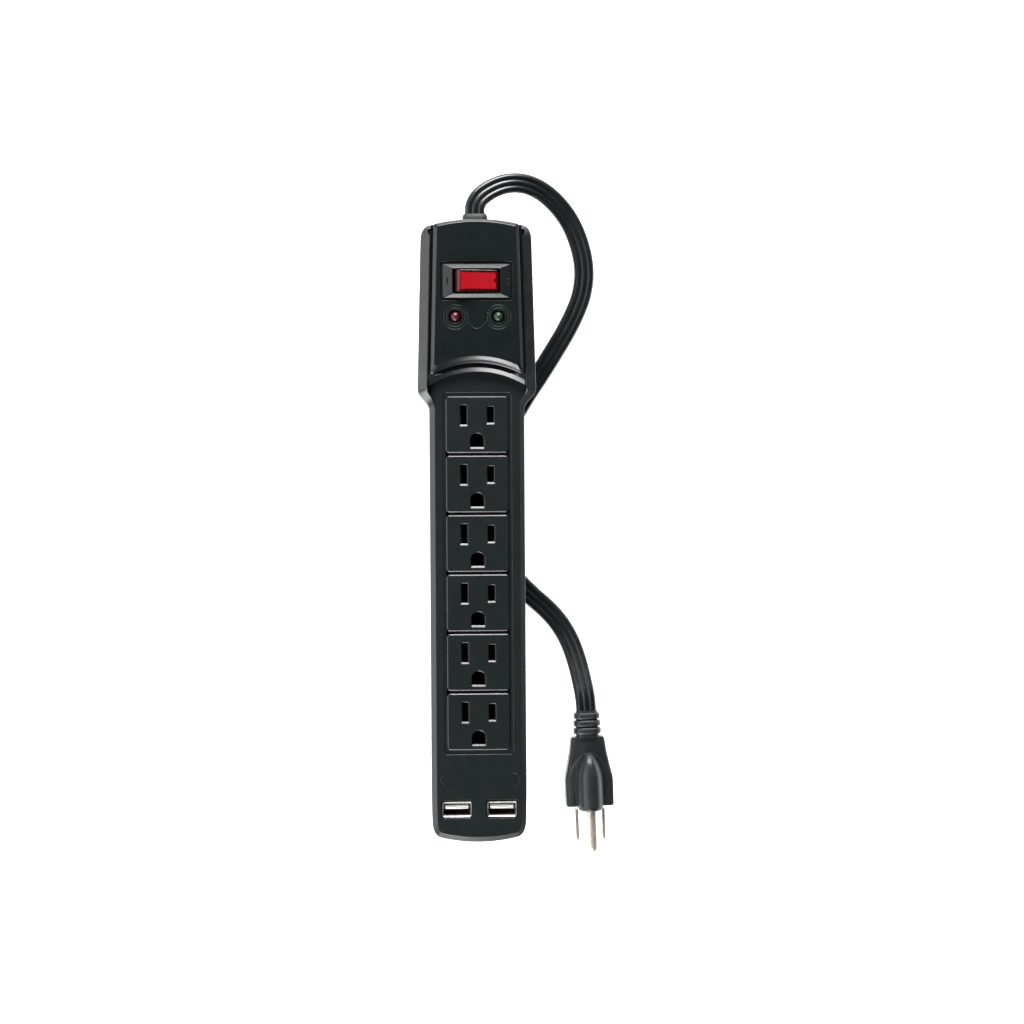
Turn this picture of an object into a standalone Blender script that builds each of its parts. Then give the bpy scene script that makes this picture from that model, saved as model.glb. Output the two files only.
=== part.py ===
"""Six-outlet power strip with a lit rocker switch, two indicator lamps, two charging ports and a flat cord.

The strip lies face up: +Z out of the outlets, +Y towards the switch and the cord, +X to the right.
The origin is on the floor, below the middle of the housing.
"""
import math

import bmesh
import bpy
from mathutils import Matrix, Vector

mm = 0.001
CLEAR = 0.3 * mm            # gap kept between neighbouring pieces

# Housing, seen from above
END_Y = 146.5 * mm          # from the middle to either end
BODY_HALF = 22.4 * mm       # half width of the outlet part
HEAD_HALF_LOW = 27.9 * mm   # half width of the head at its shoulders
HEAD_HALF_TOP = 26.2 * mm   # and at its far end
SHOULDER_LOW_Y = 57.0 * mm
SHOULDER_TOP_Y = 67.4 * mm
CORNER_Y = 137.0 * mm       # where the rounded corners of the head begin
FOOT_CORNER_Y = -136.0 * mm
HEAD_ARC_RADIUS = 44.0 * mm  # the head's lower edge bows towards the far end
HEAD_ARC_Y = 75.4 * mm

# Housing, heights above the floor
COVER_Z = 5.3 * mm
COVER_THICK = 2.2 * mm
SHELL_Z = COVER_Z + COVER_THICK + CLEAR
DECK_Z = 31.0 * mm          # face round the outlets
TERRACE_Z = 34.0 * mm       # step round the raised panel of the head
PANEL_Z = 37.5 * mm
WALL = 2.3 * mm
DECK_THICK = 2.6 * mm
KEYHOLES_Y = (96.0 * mm, -96.0 * mm)  # wall-hanging holes in the rear cover

# Outlets
OUTLET_COUNT = 6
OUTLET_PITCH = 28.0 * mm
OUTLET_FIRST_Y = 50.3 * mm   # middle of the outlet face nearest to the head
OUTLET_HALF_X = 14.9 * mm
OUTLET_HALF_Y = 13.4 * mm
BLADE_HALF_GAP = 6.35 * mm   # blades are 12.7 mm apart
SLOT_WIDTH = 2.5 * mm
NEUTRAL_SLOT = 8.6 * mm
LIVE_SLOT = 7.2 * mm
SLOT_RISE = 4.4 * mm         # from the middle of the face up to the slots
GROUND_DROP = 11.9 * mm      # from the slots down to the ground hole
GROUND_WIDTH = 5.6 * mm
GROUND_HEIGHT = 6.1 * mm
MOUTH = 0.5 * mm             # chamfer round every hole
WELL_HALF_X = 16.2 * mm
WELL_TOP_Y = 65.3 * mm
WELL_LOW_Y = -105.0 * mm
TRAY_LOW_Z = 14.0 * mm       # contact tray below the outlet faces
TRAY_TOP_Z = DECK_Z - DECK_THICK - 0.4 * mm
CHANNEL_ROOF_Z = TRAY_TOP_Z - 2.6 * mm
CHANNEL_HALF = 1.9 * mm
GROUND_CHANNEL_HALF = 3.4 * mm

# Switch
SWITCH_Y = 117.2 * mm
BEZEL_X = 31.4 * mm
BEZEL_Y = 16.1 * mm
WINDOW_X = 21.8 * mm
WINDOW_Y = 10.7 * mm
PIVOT_Z = 35.5 * mm
ROCKER_RADIUS = 10.6 * mm
ROCKER_RISE = 4.5 * mm       # from the pivot to the flat top
ROCKER_TILT = 10.0           # degrees either side of level
LEVER_TILT = 4.0
LEVER_Z = 24.5 * mm
TERMINALS_X = (-7.4 * mm, 0.0, 7.4 * mm)

# Indicator lamps and charging ports
LAMP_X = 10.1 * mm
LAMP_Y = 100.6 * mm
LAMP_RADIUS = 2.4 * mm
PORT_X = 10.6 * mm
PORT_Y = -130.8 * mm
PORT_LIP_X = 14.0 * mm
PORT_LIP_Y = 7.3 * mm

# Cord and plug
CORD_WIDTH = 9.6 * mm
CORD_THICK = 4.4 * mm
CLAMP_Y = 131.5 * mm
END_LEAD = 1.2 * mm           # straight part of a cord at either end
CORD_STEP = 7.4 * mm          # between the points of its curve
CORD_Z = 15.0 * mm           # height where it leaves the head
GLAND_FACE_Y = 150.4 * mm
PLUG_FACE = Vector((52.0, -87.2, 13.5)) * mm
PLUG_YAW = 1.9               # degrees from straight along -Y
PLUG_STEM = 11.5 * mm
PLUG_LENGTH = 34.5 * mm
PIN_RISE = 7.9 * mm          # ground pin above the middle of the plug
BLADE_DROP = 4.0 * mm        # blades below it
# Points of the cord's centre line, in millimetres, from the head to the plug
CORD_ROUTE = (
    (0.0, 151.1, 15.0), (0.1, 155.0, 15.0), (2.3, 159.2, 14.4), (7.4, 163.2, 13.2), (13.6, 166.0, 11.6),
    (20.1, 167.0, 9.8), (26.4, 166.2, 8.0), (32.4, 163.6, 6.3), (38.0, 159.4, 4.8), (43.0, 154.0, 3.6),
    (47.2, 147.4, 2.8), (50.4, 139.6, 2.5), (52.5, 131.0, 2.5), (53.0, 122.5, 2.5), (51.6, 113.6, 2.5),
    (48.3, 104.8, 2.5), (43.6, 95.6, 2.5), (38.2, 86.6, 2.5), (31.3, 75.7, 2.5), (23.6, 64.1, 2.5),
    (17.0, 52.5, 2.5), (11.8, 40.0, 2.5), (8.2, 27.0, 2.5), (6.6, 13.5, 2.5), (7.6, 0.0, 2.5),
    (11.8, -12.6, 2.5), (18.5, -23.0, 2.5), (26.5, -31.2, 2.5), (33.6, -37.6, 2.6), (39.6, -44.4, 3.1),
    (44.5, -52.8, 4.2), (47.9, -62.4, 6.4), (50.1, -71.9, 9.8), (51.4, -79.5, 12.7), (51.97, -86.4, 13.5),
)


# ---------------------------------------------------------------- materials and small tools

def clear_scene():
    for item in list(bpy.data.objects):
        bpy.data.objects.remove(item, do_unlink=True)


def finish(name, colour, roughness, metallic=0.0):
    material = bpy.data.materials.new(name)
    material.use_nodes = True
    shader = material.node_tree.nodes["Principled BSDF"]
    shader.inputs["Base Color"].default_value = (*colour, 1.0)
    shader.inputs["Roughness"].default_value = roughness
    shader.inputs["Metallic"].default_value = metallic
    material.diffuse_color = (*colour, 1.0)
    return material


def add_loft(mesh, rings):
    """Add one closed body: rings of equal point count, low to high, each counter-clockwise from above."""
    rows = [[mesh.verts.new(point) for point in ring] for ring in rings]
    count = len(rows[0])
    mesh.faces.new(list(reversed(rows[0])))
    mesh.faces.new(rows[-1])
    for low, high in zip(rows, rows[1:]):
        for i in range(count):
            j = (i + 1) % count
            mesh.faces.new((low[i], low[j], high[j], high[i]))


def make(name, lofts, material, smooth=None):
    """Make an object from one or more lofts, each a list of rings."""
    mesh = bmesh.new()
    for rings in lofts:
        add_loft(mesh, rings)
    bmesh.ops.recalc_face_normals(mesh, faces=mesh.faces)
    data = bpy.data.meshes.new(name)
    mesh.to_mesh(data)
    mesh.free()
    item = bpy.data.objects.new(name, data)
    bpy.context.collection.objects.link(item)
    if material:
        data.materials.append(material)
    if smooth:
        data.shade_smooth()
        data.set_sharp_from_angle(angle=math.radians(smooth))
    return item


def combine(item, name, lofts, operation):
    """Cut the lofts out of an object, or join them to it, with a hidden helper object."""
    helper = make(name, lofts, None)
    helper.hide_render = True
    helper.display_type = "WIRE"
    change = item.modifiers.new(name, "BOOLEAN")
    change.operation = operation
    change.object = helper
    change.solver = "EXACT"
    helper.parent = item
    return helper


def cut(item, name, lofts):
    return combine(item, name, lofts, "DIFFERENCE")


def join(item, name, lofts):
    return combine(item, name, lofts, "UNION")


def lift(outline, z):
    return [Vector((x, y, z)) for x, y in outline]


def move(rings, x=0.0, y=0.0, z=0.0):
    return [[point + Vector((x, y, z)) for point in ring] for ring in rings]


def turn(rings, matrix):
    return [[matrix @ point for point in ring] for ring in rings]


def rounded(width, height, radius, steps=4):
    """Rectangle with round corners, centred on the origin."""
    points = []
    for quarter, (sx, sy) in enumerate(((1, 1), (-1, 1), (-1, -1), (1, -1))):
        cx = sx * (width / 2 - radius)
        cy = sy * (height / 2 - radius)
        for k in range(steps + 1):
            angle = math.pi / 2 * (quarter + k / steps)
            points.append((cx + radius * math.cos(angle), cy + radius * math.sin(angle)))
    return points


def round_bar(radii, heights, sides=24):
    """Rings of a turned piece about Z, from matching radii and heights."""
    rings = []
    for radius, z in zip(radii, heights):
        angles = (2 * math.pi * k / sides for k in range(sides))
        rings.append([Vector((radius * math.cos(a), radius * math.sin(a), z)) for a in angles])
    return rings


def block(size_x, size_y, z_low, z_high, x=0.0, y=0.0, radius=0.0):
    """Rings of an upright block, with round corners when a radius is given."""
    if radius:
        outline = rounded(size_x, size_y, radius, 3)
    else:
        outline = [(size_x / 2 * sx, size_y / 2 * sy) for sx, sy in ((1, 1), (-1, 1), (-1, -1), (1, -1))]
    return move([lift(outline, z_low), lift(outline, z_high)], x, y)


def along_y(rings):
    """Turn rings that stand on Z so that they run along +Y."""
    return turn(rings, Matrix.Rotation(math.radians(-90), 3, "X"))


def along_x(rings):
    """Turn rings that stand on Z so that they run along +X."""
    return turn(rings, Matrix.Rotation(math.radians(90), 3, "Y"))


# ---------------------------------------------------------------- outlines of the housing

def head_half(y):
    """Half width of the head at a place along it: a straight taper towards the far end."""
    share = (y - SHOULDER_TOP_Y) / (CORNER_Y - SHOULDER_TOP_Y)
    return HEAD_HALF_LOW + (HEAD_HALF_TOP - HEAD_HALF_LOW) * share


def bowed_end(half, end_y, bow, steps):
    """Points of a shallow bowed end, from x = half to x = -half, as a parabola."""
    points = []
    for k in range(steps + 1):
        x = half * (1 - 2 * k / steps)
        points.append((x, end_y - bow * (x / half) ** 2))
    return points


def corner(start, control, end, steps):
    """Round corner as a quadratic curve, without its end point."""
    points = []
    for k in range(steps):
        t = k / steps
        a, b, c = (1 - t) ** 2, 2 * t * (1 - t), t * t
        points.append(tuple(a * s + b * m + c * e for s, m, e in zip(start, control, end)))
    return points


def far_end(inset_side, inset_end):
    """Far end of the head: right corner, bowed end and left corner."""
    side = head_half(CORNER_Y) - inset_side
    tip = side - 3.6 * mm
    end = END_Y - inset_end
    bow = 3.0 * mm
    low = (side, CORNER_Y)
    control = (side - 0.2 * mm, end - bow - 0.9 * mm)
    right = corner(low, control, (tip, end - bow), 4)
    top = bowed_end(tip, end, bow, 6)
    left = [(-x, y) for x, y in reversed(right)]
    return right + top + left


def shoulder_side():
    """Right side from the near end up to the shoulder, an S-curve between the two widths."""
    side = [(BODY_HALF - 0.2 * mm, FOOT_CORNER_Y)]
    steps = 6
    for k in range(steps + 1):
        t = k / steps
        ease = t * t * (3 - 2 * t)
        x = BODY_HALF + (HEAD_HALF_LOW - BODY_HALF) * ease
        side.append((x, SHOULDER_LOW_Y + (SHOULDER_TOP_Y - SHOULDER_LOW_Y) * t))
    return side


def full_outline(inset):
    """Whole silhouette, counter-clockwise, moved inwards by the inset."""
    side = shoulder_side()
    low_half = BODY_HALF - 5.0 * mm
    low_end = -END_Y + 2.0 * mm
    near = [(-x, -y) for x, y in bowed_end(low_half, END_Y, 2.0 * mm, 6)]
    low_corner = corner((low_half, low_end), (BODY_HALF - 0.4 * mm, low_end + 0.6 * mm), side[0], 4)[1:]
    right = low_corner + side
    left = [(-x, y) for x, y in reversed(right)]
    points = near + right + far_end(0.0, 0.0) + left
    return offset(points, inset)


def offset(points, inset):
    """Move a closed outline inwards along the mean normal of each corner's two edges."""
    if not inset:
        return points
    moved = []
    count = len(points)
    for i, (x, y) in enumerate(points):
        x0, y0 = points[i - 1]
        x1, y1 = points[(i + 1) % count]
        before = Vector((y - y0, x0 - x)).normalized()
        after = Vector((y1 - y, x - x1)).normalized()
        normal = (before + after).normalized()
        reach = inset / max(normal.dot(before), 0.5)
        moved.append((x - normal.x * reach, y - normal.y * reach))
    return moved


def head_outline(inset_side, inset_end, inset_arc):
    """The head alone: sides, far end, and the lower edge that bows towards the far end."""
    radius = HEAD_ARC_RADIUS - inset_arc
    centre_y = HEAD_ARC_Y - HEAD_ARC_RADIUS + 2 * inset_arc
    half = HEAD_HALF_LOW - inset_side
    steps = 12
    arc = []
    for k in range(steps + 1):
        x = half * (2 * k / steps - 1)
        arc.append((x, centre_y + math.sqrt(radius * radius - x * x)))
    return arc + far_end(inset_side, inset_end)


# ---------------------------------------------------------------- the housing

def outlet_centres():
    return [OUTLET_FIRST_Y - OUTLET_PITCH * k for k in range(OUTLET_COUNT)]


def cover_screw_places():
    return [(x, y) for y in (128.0 * mm, -112.0 * mm) for x in screw_pair(y)]


def screw_pair(y):
    reach = 21.6 * mm if y > 0 else 18.0 * mm
    return (-reach, reach)


def foot_places():
    return [(sx * reach, y) for y, reach in ((138.0 * mm, 14.0 * mm), (-134.0 * mm, 14.0 * mm)) for sx in (-1, 1)]


def make_upper_housing(material):
    slope = 2.6 * mm
    shell = make("upper_housing", [[
        lift(full_outline(0.1 * mm), SHELL_Z),
        lift(full_outline(0.1 * mm), DECK_Z - slope),
        lift(full_outline(slope), DECK_Z),
    ]], material)
    join(shell, "head_block", [[
        lift(head_outline(0, 0, 0), SHELL_Z),
        lift(head_outline(0, 0, 0), TERRACE_Z - 4.5 * mm),
        lift(head_outline(4.2 * mm, 0.5 * mm, 1.0 * mm), TERRACE_Z),
    ]])
    join(shell, "raised_panel", [[
        lift(head_outline(5.2 * mm, 0.8 * mm, 2.1 * mm), TERRACE_Z - 1.0 * mm),
        lift(head_outline(5.2 * mm, 0.8 * mm, 2.1 * mm), TERRACE_Z + 0.3 * mm),
        lift(head_outline(7.1 * mm, 2.0 * mm, 3.5 * mm), PANEL_Z),
    ]])
    roof = DECK_Z - DECK_THICK
    cut(shell, "hollow", [[
        lift(full_outline(WALL), SHELL_Z - 1 * mm),
        lift(full_outline(WALL), roof - 1.4 * mm),
        lift(full_outline(WALL + 1.8 * mm), roof),
    ]])
    cut(shell, "head_hollow", [[
        lift(head_outline(WALL + 0.2 * mm, WALL + 0.2 * mm, 2.6 * mm), SHELL_Z - 1 * mm),
        lift(head_outline(WALL + 0.2 * mm, WALL + 0.2 * mm, 2.6 * mm), roof),
        lift(head_outline(7.2 * mm, 4.4 * mm, 5.0 * mm), PANEL_Z - 3.0 * mm),
    ]])
    well_y = (WELL_TOP_Y + WELL_LOW_Y) / 2
    cut(shell, "outlet_well", [block(2 * WELL_HALF_X, WELL_TOP_Y - WELL_LOW_Y, roof - 1 * mm, DECK_Z + 1 * mm,
                                     0, well_y, 1.6 * mm)])
    cut(shell, "switch_recess", [block(BEZEL_X + 1.8 * mm, BEZEL_Y + 1.7 * mm, PANEL_Z - 0.8 * mm,
                                       PANEL_Z + 1 * mm, 0, SWITCH_Y, 1.0 * mm)])
    cut(shell, "switch_hole", [block(29.0 * mm, 14.6 * mm, PANEL_Z - 4 * mm, PANEL_Z + 1 * mm, 0, SWITCH_Y)])
    lamp_hole = round_bar([LAMP_RADIUS + CLEAR] * 2, [PANEL_Z - 4 * mm, PANEL_Z + 1 * mm])
    cut(shell, "lamp_holes", [move(lamp_hole, side * LAMP_X, LAMP_Y) for side in (-1, 1)])
    port_outline = rounded(PORT_LIP_X + 2 * CLEAR, PORT_LIP_Y + 2 * CLEAR, 1.0 * mm, 2)
    port_hole = [lift(port_outline, roof - 1 * mm), lift(port_outline, DECK_Z + 1 * mm)]
    cut(shell, "port_holes", [move(port_hole, side * PORT_X, PORT_Y) for side in (-1, 1)])
    gland_outline = rounded(11.4 * mm, 7.2 * mm, 2.0 * mm, 3)
    gland_hole = along_y([lift(gland_outline, 0), lift(gland_outline, 12 * mm)])
    cut(shell, "gland_hole", [move(gland_hole, 0, END_Y - 8 * mm, CORD_Z)])
    post = round_bar([3.0 * mm] * 2, [SHELL_Z + 2.8 * mm, roof + 0.6 * mm], 16)
    join(shell, "posts", [move(post, x, y) for x, y in cover_screw_places()])
    pilot = round_bar([1.45 * mm] * 2, [SHELL_Z, SHELL_Z + 11 * mm], 12)
    cut(shell, "pilot_holes", [move(pilot, x, y) for x, y in cover_screw_places()])
    return shell


def make_rear_cover(material):
    edge = 0.8 * mm
    top = COVER_Z + COVER_THICK
    cover = make("rear_cover", [[
        lift(full_outline(edge + 0.2 * mm), COVER_Z),
        lift(full_outline(0.2 * mm), COVER_Z + edge),
        lift(full_outline(0.2 * mm), top),
    ]], material)
    join(cover, "lip", [[lift(full_outline(WALL + 0.4 * mm), top - 0.6 * mm),
                         lift(full_outline(WALL + 0.4 * mm), top + 2.0 * mm)]])
    cut(cover, "lip_hollow", [[lift(full_outline(WALL + 1.6 * mm), top),
                               lift(full_outline(WALL + 1.6 * mm), top + 3.0 * mm)]])
    shank = round_bar([1.45 * mm] * 2, [COVER_Z - 1 * mm, top + 4 * mm], 12)
    head = round_bar([3.2 * mm] * 2, [COVER_Z - 1 * mm, COVER_Z + 1.3 * mm], 16)
    post_room = round_bar([3.4 * mm] * 2, [top, top + 4 * mm], 16)
    places = cover_screw_places()
    cut(cover, "screw_holes", [move(shank, x, y) for x, y in places])
    cut(cover, "screw_heads", [move(head, x, y) for x, y in places])
    cut(cover, "post_room", [move(post_room, x, y) for x, y in places])
    wide = round_bar([4.3 * mm] * 2, [COVER_Z - 1 * mm, top + 1 * mm], 24)
    narrow = block(4.4 * mm, 9.0 * mm, COVER_Z - 1 * mm, top + 1 * mm, 0, 4.5 * mm, 2.0 * mm)
    for y in KEYHOLES_Y:
        cut(cover, "keyhole_wide", [move(wide, 0, y)])
        cut(cover, "keyhole_narrow", [move(narrow, 0, y)])
    return cover


def make_cover_screws(material):
    for number, (x, y) in enumerate(cover_screw_places(), 1):
        low = COVER_Z + 0.2 * mm
        rings = round_bar([2.4 * mm, 2.8 * mm, 2.8 * mm, 1.1 * mm, 1.1 * mm, 0.4 * mm],
                          [low, low + 0.3 * mm, low + 0.8 * mm, low + 0.8 * mm, low + 8.0 * mm, low + 9.2 * mm], 12)
        screw = make(f"cover_screw_{number}", [move(rings, x, y)], material, 40)
        arm = 3.2 * mm
        for k, (wide, deep) in enumerate(((arm, 0.6 * mm), (0.6 * mm, arm))):
            cut(screw, f"cross_{k}", [block(wide, deep, low - 1 * mm, low + 0.5 * mm, x, y)])


def make_feet(material):
    for number, (x, y) in enumerate(foot_places(), 1):
        rings = round_bar([4.6 * mm, 5.1 * mm, 5.2 * mm, 5.2 * mm],
                          [0, 0.5 * mm, 1.2 * mm, COVER_Z - CLEAR], 20)
        make(f"foot_{number}", [move(rings, x, y)], material, 40)


# ---------------------------------------------------------------- outlets

def ground_outline(width, height):
    """Arched hole: a half circle on the side of the slots, a flat edge on the other."""
    half = width / 2
    flat_y = -height / 2
    arch_y = height / 2 - half
    steps = 10
    arch = [(half * math.cos(math.pi * k / steps), arch_y + half * math.sin(math.pi * k / steps))
            for k in range(steps + 1)]
    return arch + [(-half + 0.5 * mm, flat_y), (half - 0.5 * mm, flat_y)]


def hole_rings(outline, low, face):
    """A hole with a chamfered mouth at the face."""
    wide = offset(outline, -MOUTH)
    wider = offset(outline, -2 * MOUTH)
    return [lift(outline, low), lift(outline, face - MOUTH), lift(wide, face), lift(wider, face + MOUTH)]


def outlet_holes(low, face):
    neutral = rounded(SLOT_WIDTH, NEUTRAL_SLOT, 0.3 * mm, 2)
    live = rounded(SLOT_WIDTH, LIVE_SLOT, 0.3 * mm, 2)
    ground = ground_outline(GROUND_WIDTH, GROUND_HEIGHT)
    return [
        move(hole_rings(neutral, low, face), -BLADE_HALF_GAP, SLOT_RISE),
        move(hole_rings(live, low, face), BLADE_HALF_GAP, SLOT_RISE),
        move(hole_rings(ground, low, face), 0, SLOT_RISE - GROUND_DROP),
    ]


def make_outlet_faces(material):
    back = DECK_Z - DECK_THICK
    outline = rounded(2 * OUTLET_HALF_X, 2 * OUTLET_HALF_Y, 1.4 * mm, 4)
    edge = 0.4 * mm
    for number, y in enumerate(outlet_centres(), 1):
        rings = [lift(outline, back), lift(outline, DECK_Z - edge), lift(offset(outline, edge), DECK_Z)]
        face = make(f"outlet_face_{number}", [move(rings, 0, y)], material)
        holes = [move(hole, 0, y) for hole in outlet_holes(back - 1 * mm, DECK_Z)]
        cut(face, f"outlet_holes_{number}", holes)


def make_contact_tray(material):
    length = WELL_TOP_Y - WELL_LOW_Y - 1.0 * mm
    middle = (WELL_TOP_Y + WELL_LOW_Y) / 2
    tray = make("contact_tray", [block(2 * OUTLET_HALF_X, length, TRAY_LOW_Z, TRAY_TOP_Z, 0, middle)], material)
    halves = ((-BLADE_HALF_GAP, CHANNEL_HALF), (BLADE_HALF_GAP, CHANNEL_HALF), (0.0, GROUND_CHANNEL_HALF))
    cut(tray, "channels", [
        block(2 * half, length - 3 * mm, TRAY_LOW_Z - 1 * mm, CHANNEL_ROOF_Z, x, middle) for x, half in halves])
    slots = []
    for y in outlet_centres():
        for x, width, height, rise in ((-BLADE_HALF_GAP, 2.7 * mm, 9.0 * mm, SLOT_RISE),
                                       (BLADE_HALF_GAP, 2.7 * mm, 9.0 * mm, SLOT_RISE),
                                       (0.0, 5.8 * mm, 6.3 * mm, SLOT_RISE - GROUND_DROP)):
            slots.append(block(width, height, CHANNEL_ROOF_Z - 1 * mm, TRAY_TOP_Z + 1 * mm, x, y + rise))
    cut(tray, "slots", slots)
    return tray


def comb_outline(offset_y, tooth):
    """Side view of a contact bar: a long strip with one upright tooth at each outlet."""
    low = TRAY_LOW_Z + 0.6 * mm
    top = low + 2.4 * mm
    tip = CHANNEL_ROOF_Z - 0.8 * mm
    first = outlet_centres()[0] + offset_y + tooth / 2 + 4 * mm
    last = outlet_centres()[-1] + offset_y - tooth / 2 - 3 * mm
    points = [(first, low), (first, top)]
    for y in outlet_centres():
        centre = y + offset_y
        points += [(centre + tooth / 2, top), (centre + tooth / 2 - 0.6 * mm, tip),
                   (centre - tooth / 2 + 0.6 * mm, tip), (centre - tooth / 2, top)]
    return points + [(last, top), (last, low)]


def make_contact_bars(material):
    thick = 0.7 * mm
    bars = (
        ("neutral_bar", -BLADE_HALF_GAP - 1.2 * mm, SLOT_RISE, 6.4 * mm),
        ("live_bar", BLADE_HALF_GAP + 0.5 * mm, SLOT_RISE, 6.4 * mm),
        ("ground_bar", 2.5 * mm, SLOT_RISE - GROUND_DROP, 5.0 * mm),
    )
    for name, x, rise, tooth in bars:
        outline = comb_outline(rise, tooth)
        rings = [[Vector((x + shift, y, z)) for y, z in outline] for shift in (0.0, thick)]
        make(name, [rings], material)


# ---------------------------------------------------------------- switch

def make_switch_bezel(material):
    low = PANEL_Z - 0.5 * mm
    outline = rounded(BEZEL_X, BEZEL_Y, 0.8 * mm, 3)
    bezel = make("switch_bezel", [move([
        lift(outline, low), lift(outline, low + 0.9 * mm), lift(offset(outline, 0.7 * mm), low + 1.8 * mm),
    ], 0, SWITCH_Y)], material)
    join(bezel, "skirt", [block(28.4 * mm, 14.0 * mm, PIVOT_Z - 1.9 * mm, low + 0.4 * mm, 0, SWITCH_Y)])
    window = rounded(WINDOW_X, WINDOW_Y, 0.4 * mm, 2)
    flare = 1.2 * mm
    cut(bezel, "window", [move([
        lift(window, PIVOT_Z - 4 * mm), lift(window, low + 0.7 * mm), lift(offset(window, -flare), low + 1.8 * mm),
        lift(offset(window, -2 * flare), low + 2.9 * mm),
    ], 0, SWITCH_Y)])
    bore = along_y(round_bar([1.5 * mm] * 2, [-9 * mm, 9 * mm], 16))
    cut(bezel, "pivot_bore", [move(bore, 0, SWITCH_Y, PIVOT_Z)])
    return bezel


def make_switch_body(material):
    low = 19.5 * mm
    top = PIVOT_Z - 2.2 * mm
    body = make("switch_body", [block(27.6 * mm, 13.6 * mm, low, top, 0, SWITCH_Y, 0.8 * mm)], material)
    cut(body, "switch_well", [block(24.6 * mm, 10.9 * mm, low + 2 * mm, top + 1 * mm, 0, SWITCH_Y)])
    cut(body, "terminal_slots", [block(1.5 * mm, 5.4 * mm, low - 1 * mm, low + 3 * mm, x, SWITCH_Y)
                                 for x in TERMINALS_X])
    return body


def make_switch_terminals(material):
    for number, x in enumerate(TERMINALS_X, 1):
        blade = [(-2.4 * mm, 13.0 * mm), (-1.8 * mm, 12.2 * mm), (1.8 * mm, 12.2 * mm), (2.4 * mm, 13.0 * mm),
                 (2.4 * mm, 22.8 * mm), (-2.4 * mm, 22.8 * mm)]
        rings = [[Vector((x + shift, SWITCH_Y + y, z)) for y, z in blade] for shift in (-0.4 * mm, 0.4 * mm)]
        make(f"switch_terminal_{number}", [rings], material)


def rocker_profile():
    """End view of the rocker: a flat top, round ends about the pivot and a flat underside."""
    low = 3.4 * mm
    start = math.asin(ROCKER_RISE / ROCKER_RADIUS)
    stop = -math.asin(low / ROCKER_RADIUS)
    steps = 6
    angles = [start + (stop - start) * k / steps for k in range(steps + 1)]
    right = [(ROCKER_RADIUS * math.cos(a), ROCKER_RADIUS * math.sin(a)) for a in angles]
    return right + [(-x, z) for x, z in reversed(right)]


def make_rocker(material, brass, steel):
    """Rocker with its two pivot pins, a sprung plunger below it; it is modelled about its pivot."""
    half = WINDOW_Y / 2 - 0.3 * mm
    edge = 0.35 * mm
    profile = rocker_profile()
    small = [(x * 0.965, z * 0.965) for x, z in profile]
    rings = [[Vector((x, y, z)) for x, z in shape] for shape, y in
             ((small, -half), (profile, -half + edge), (profile, half - edge), (small, half))]
    rocker = make("rocker", [rings], material, 30)
    pins = along_y(round_bar([1.15 * mm] * 2, [-half - 1.5 * mm, half + 1.5 * mm], 16))
    join(rocker, "pivot_pins", [pins])
    cut(rocker, "plunger_socket", [round_bar([2.1 * mm] * 2, [-5 * mm, 1.5 * mm], 16)])
    plunger = make("plunger", [round_bar([0.9 * mm, 0.9 * mm, 1.5 * mm, 1.5 * mm, 0.5 * mm],
                                         [1.2 * mm, -4.4 * mm, -4.4 * mm, -8.2 * mm, -9.2 * mm], 16)], brass, 40)
    spring = make_spring(steel)
    for piece in (rocker, plunger, spring):
        piece.location = (0, SWITCH_Y, PIVOT_Z)
        piece.rotation_euler = (0, math.radians(ROCKER_TILT), 0)
    return rocker


def make_spring(material):
    """Small coil spring round the plunger's stem."""
    turns = 4
    per_turn = 8
    wire = 0.2 * mm
    radius = 1.5 * mm
    data = bpy.data.curves.new("plunger_spring", "CURVE")
    data.dimensions = "3D"
    data.bevel_depth = wire
    data.bevel_resolution = 0
    data.use_fill_caps = True
    spline = data.splines.new("POLY")
    count = turns * per_turn + 1
    spline.points.add(count - 1)
    for k in range(count):
        angle = 2 * math.pi * k / per_turn
        height = (-4.0 + 4.8 * k / (count - 1)) * mm
        spline.points[k].co = (radius * math.cos(angle), radius * math.sin(angle), height, 1)
    spring = bpy.data.objects.new("plunger_spring", data)
    bpy.context.collection.objects.link(spring)
    data.materials.append(material)
    return spring


def make_contact_lever(material):
    """Rocking contact below the plunger, modelled about its own pivot."""
    side = [(-8.2, -0.4), (8.2, -0.4), (8.2, 0.4), (3.2, 0.4), (0.0, -0.1), (-3.2, 0.4), (-8.2, 0.4)]
    half = 2.2 * mm
    rings = [[Vector((x * mm, y, z * mm)) for x, z in side] for y in (half, -half)]
    lever = make("contact_lever", [rings], material)
    lever.location = (0, SWITCH_Y, LEVER_Z)
    lever.rotation_euler = (0, math.radians(-LEVER_TILT), 0)
    return lever


def make_neon_lamp(material):
    rings = along_y(round_bar([0.5 * mm, 1.2 * mm, 1.4 * mm, 1.4 * mm, 1.2 * mm, 0.5 * mm],
                              [-4.4 * mm, -4.1 * mm, -3.4 * mm, 3.4 * mm, 4.1 * mm, 4.4 * mm], 12))
    return make("neon_lamp", [move(rings, -8.4 * mm, SWITCH_Y, 28.2 * mm)], material, 40)


# ---------------------------------------------------------------- lamps and boards in the head

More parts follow.
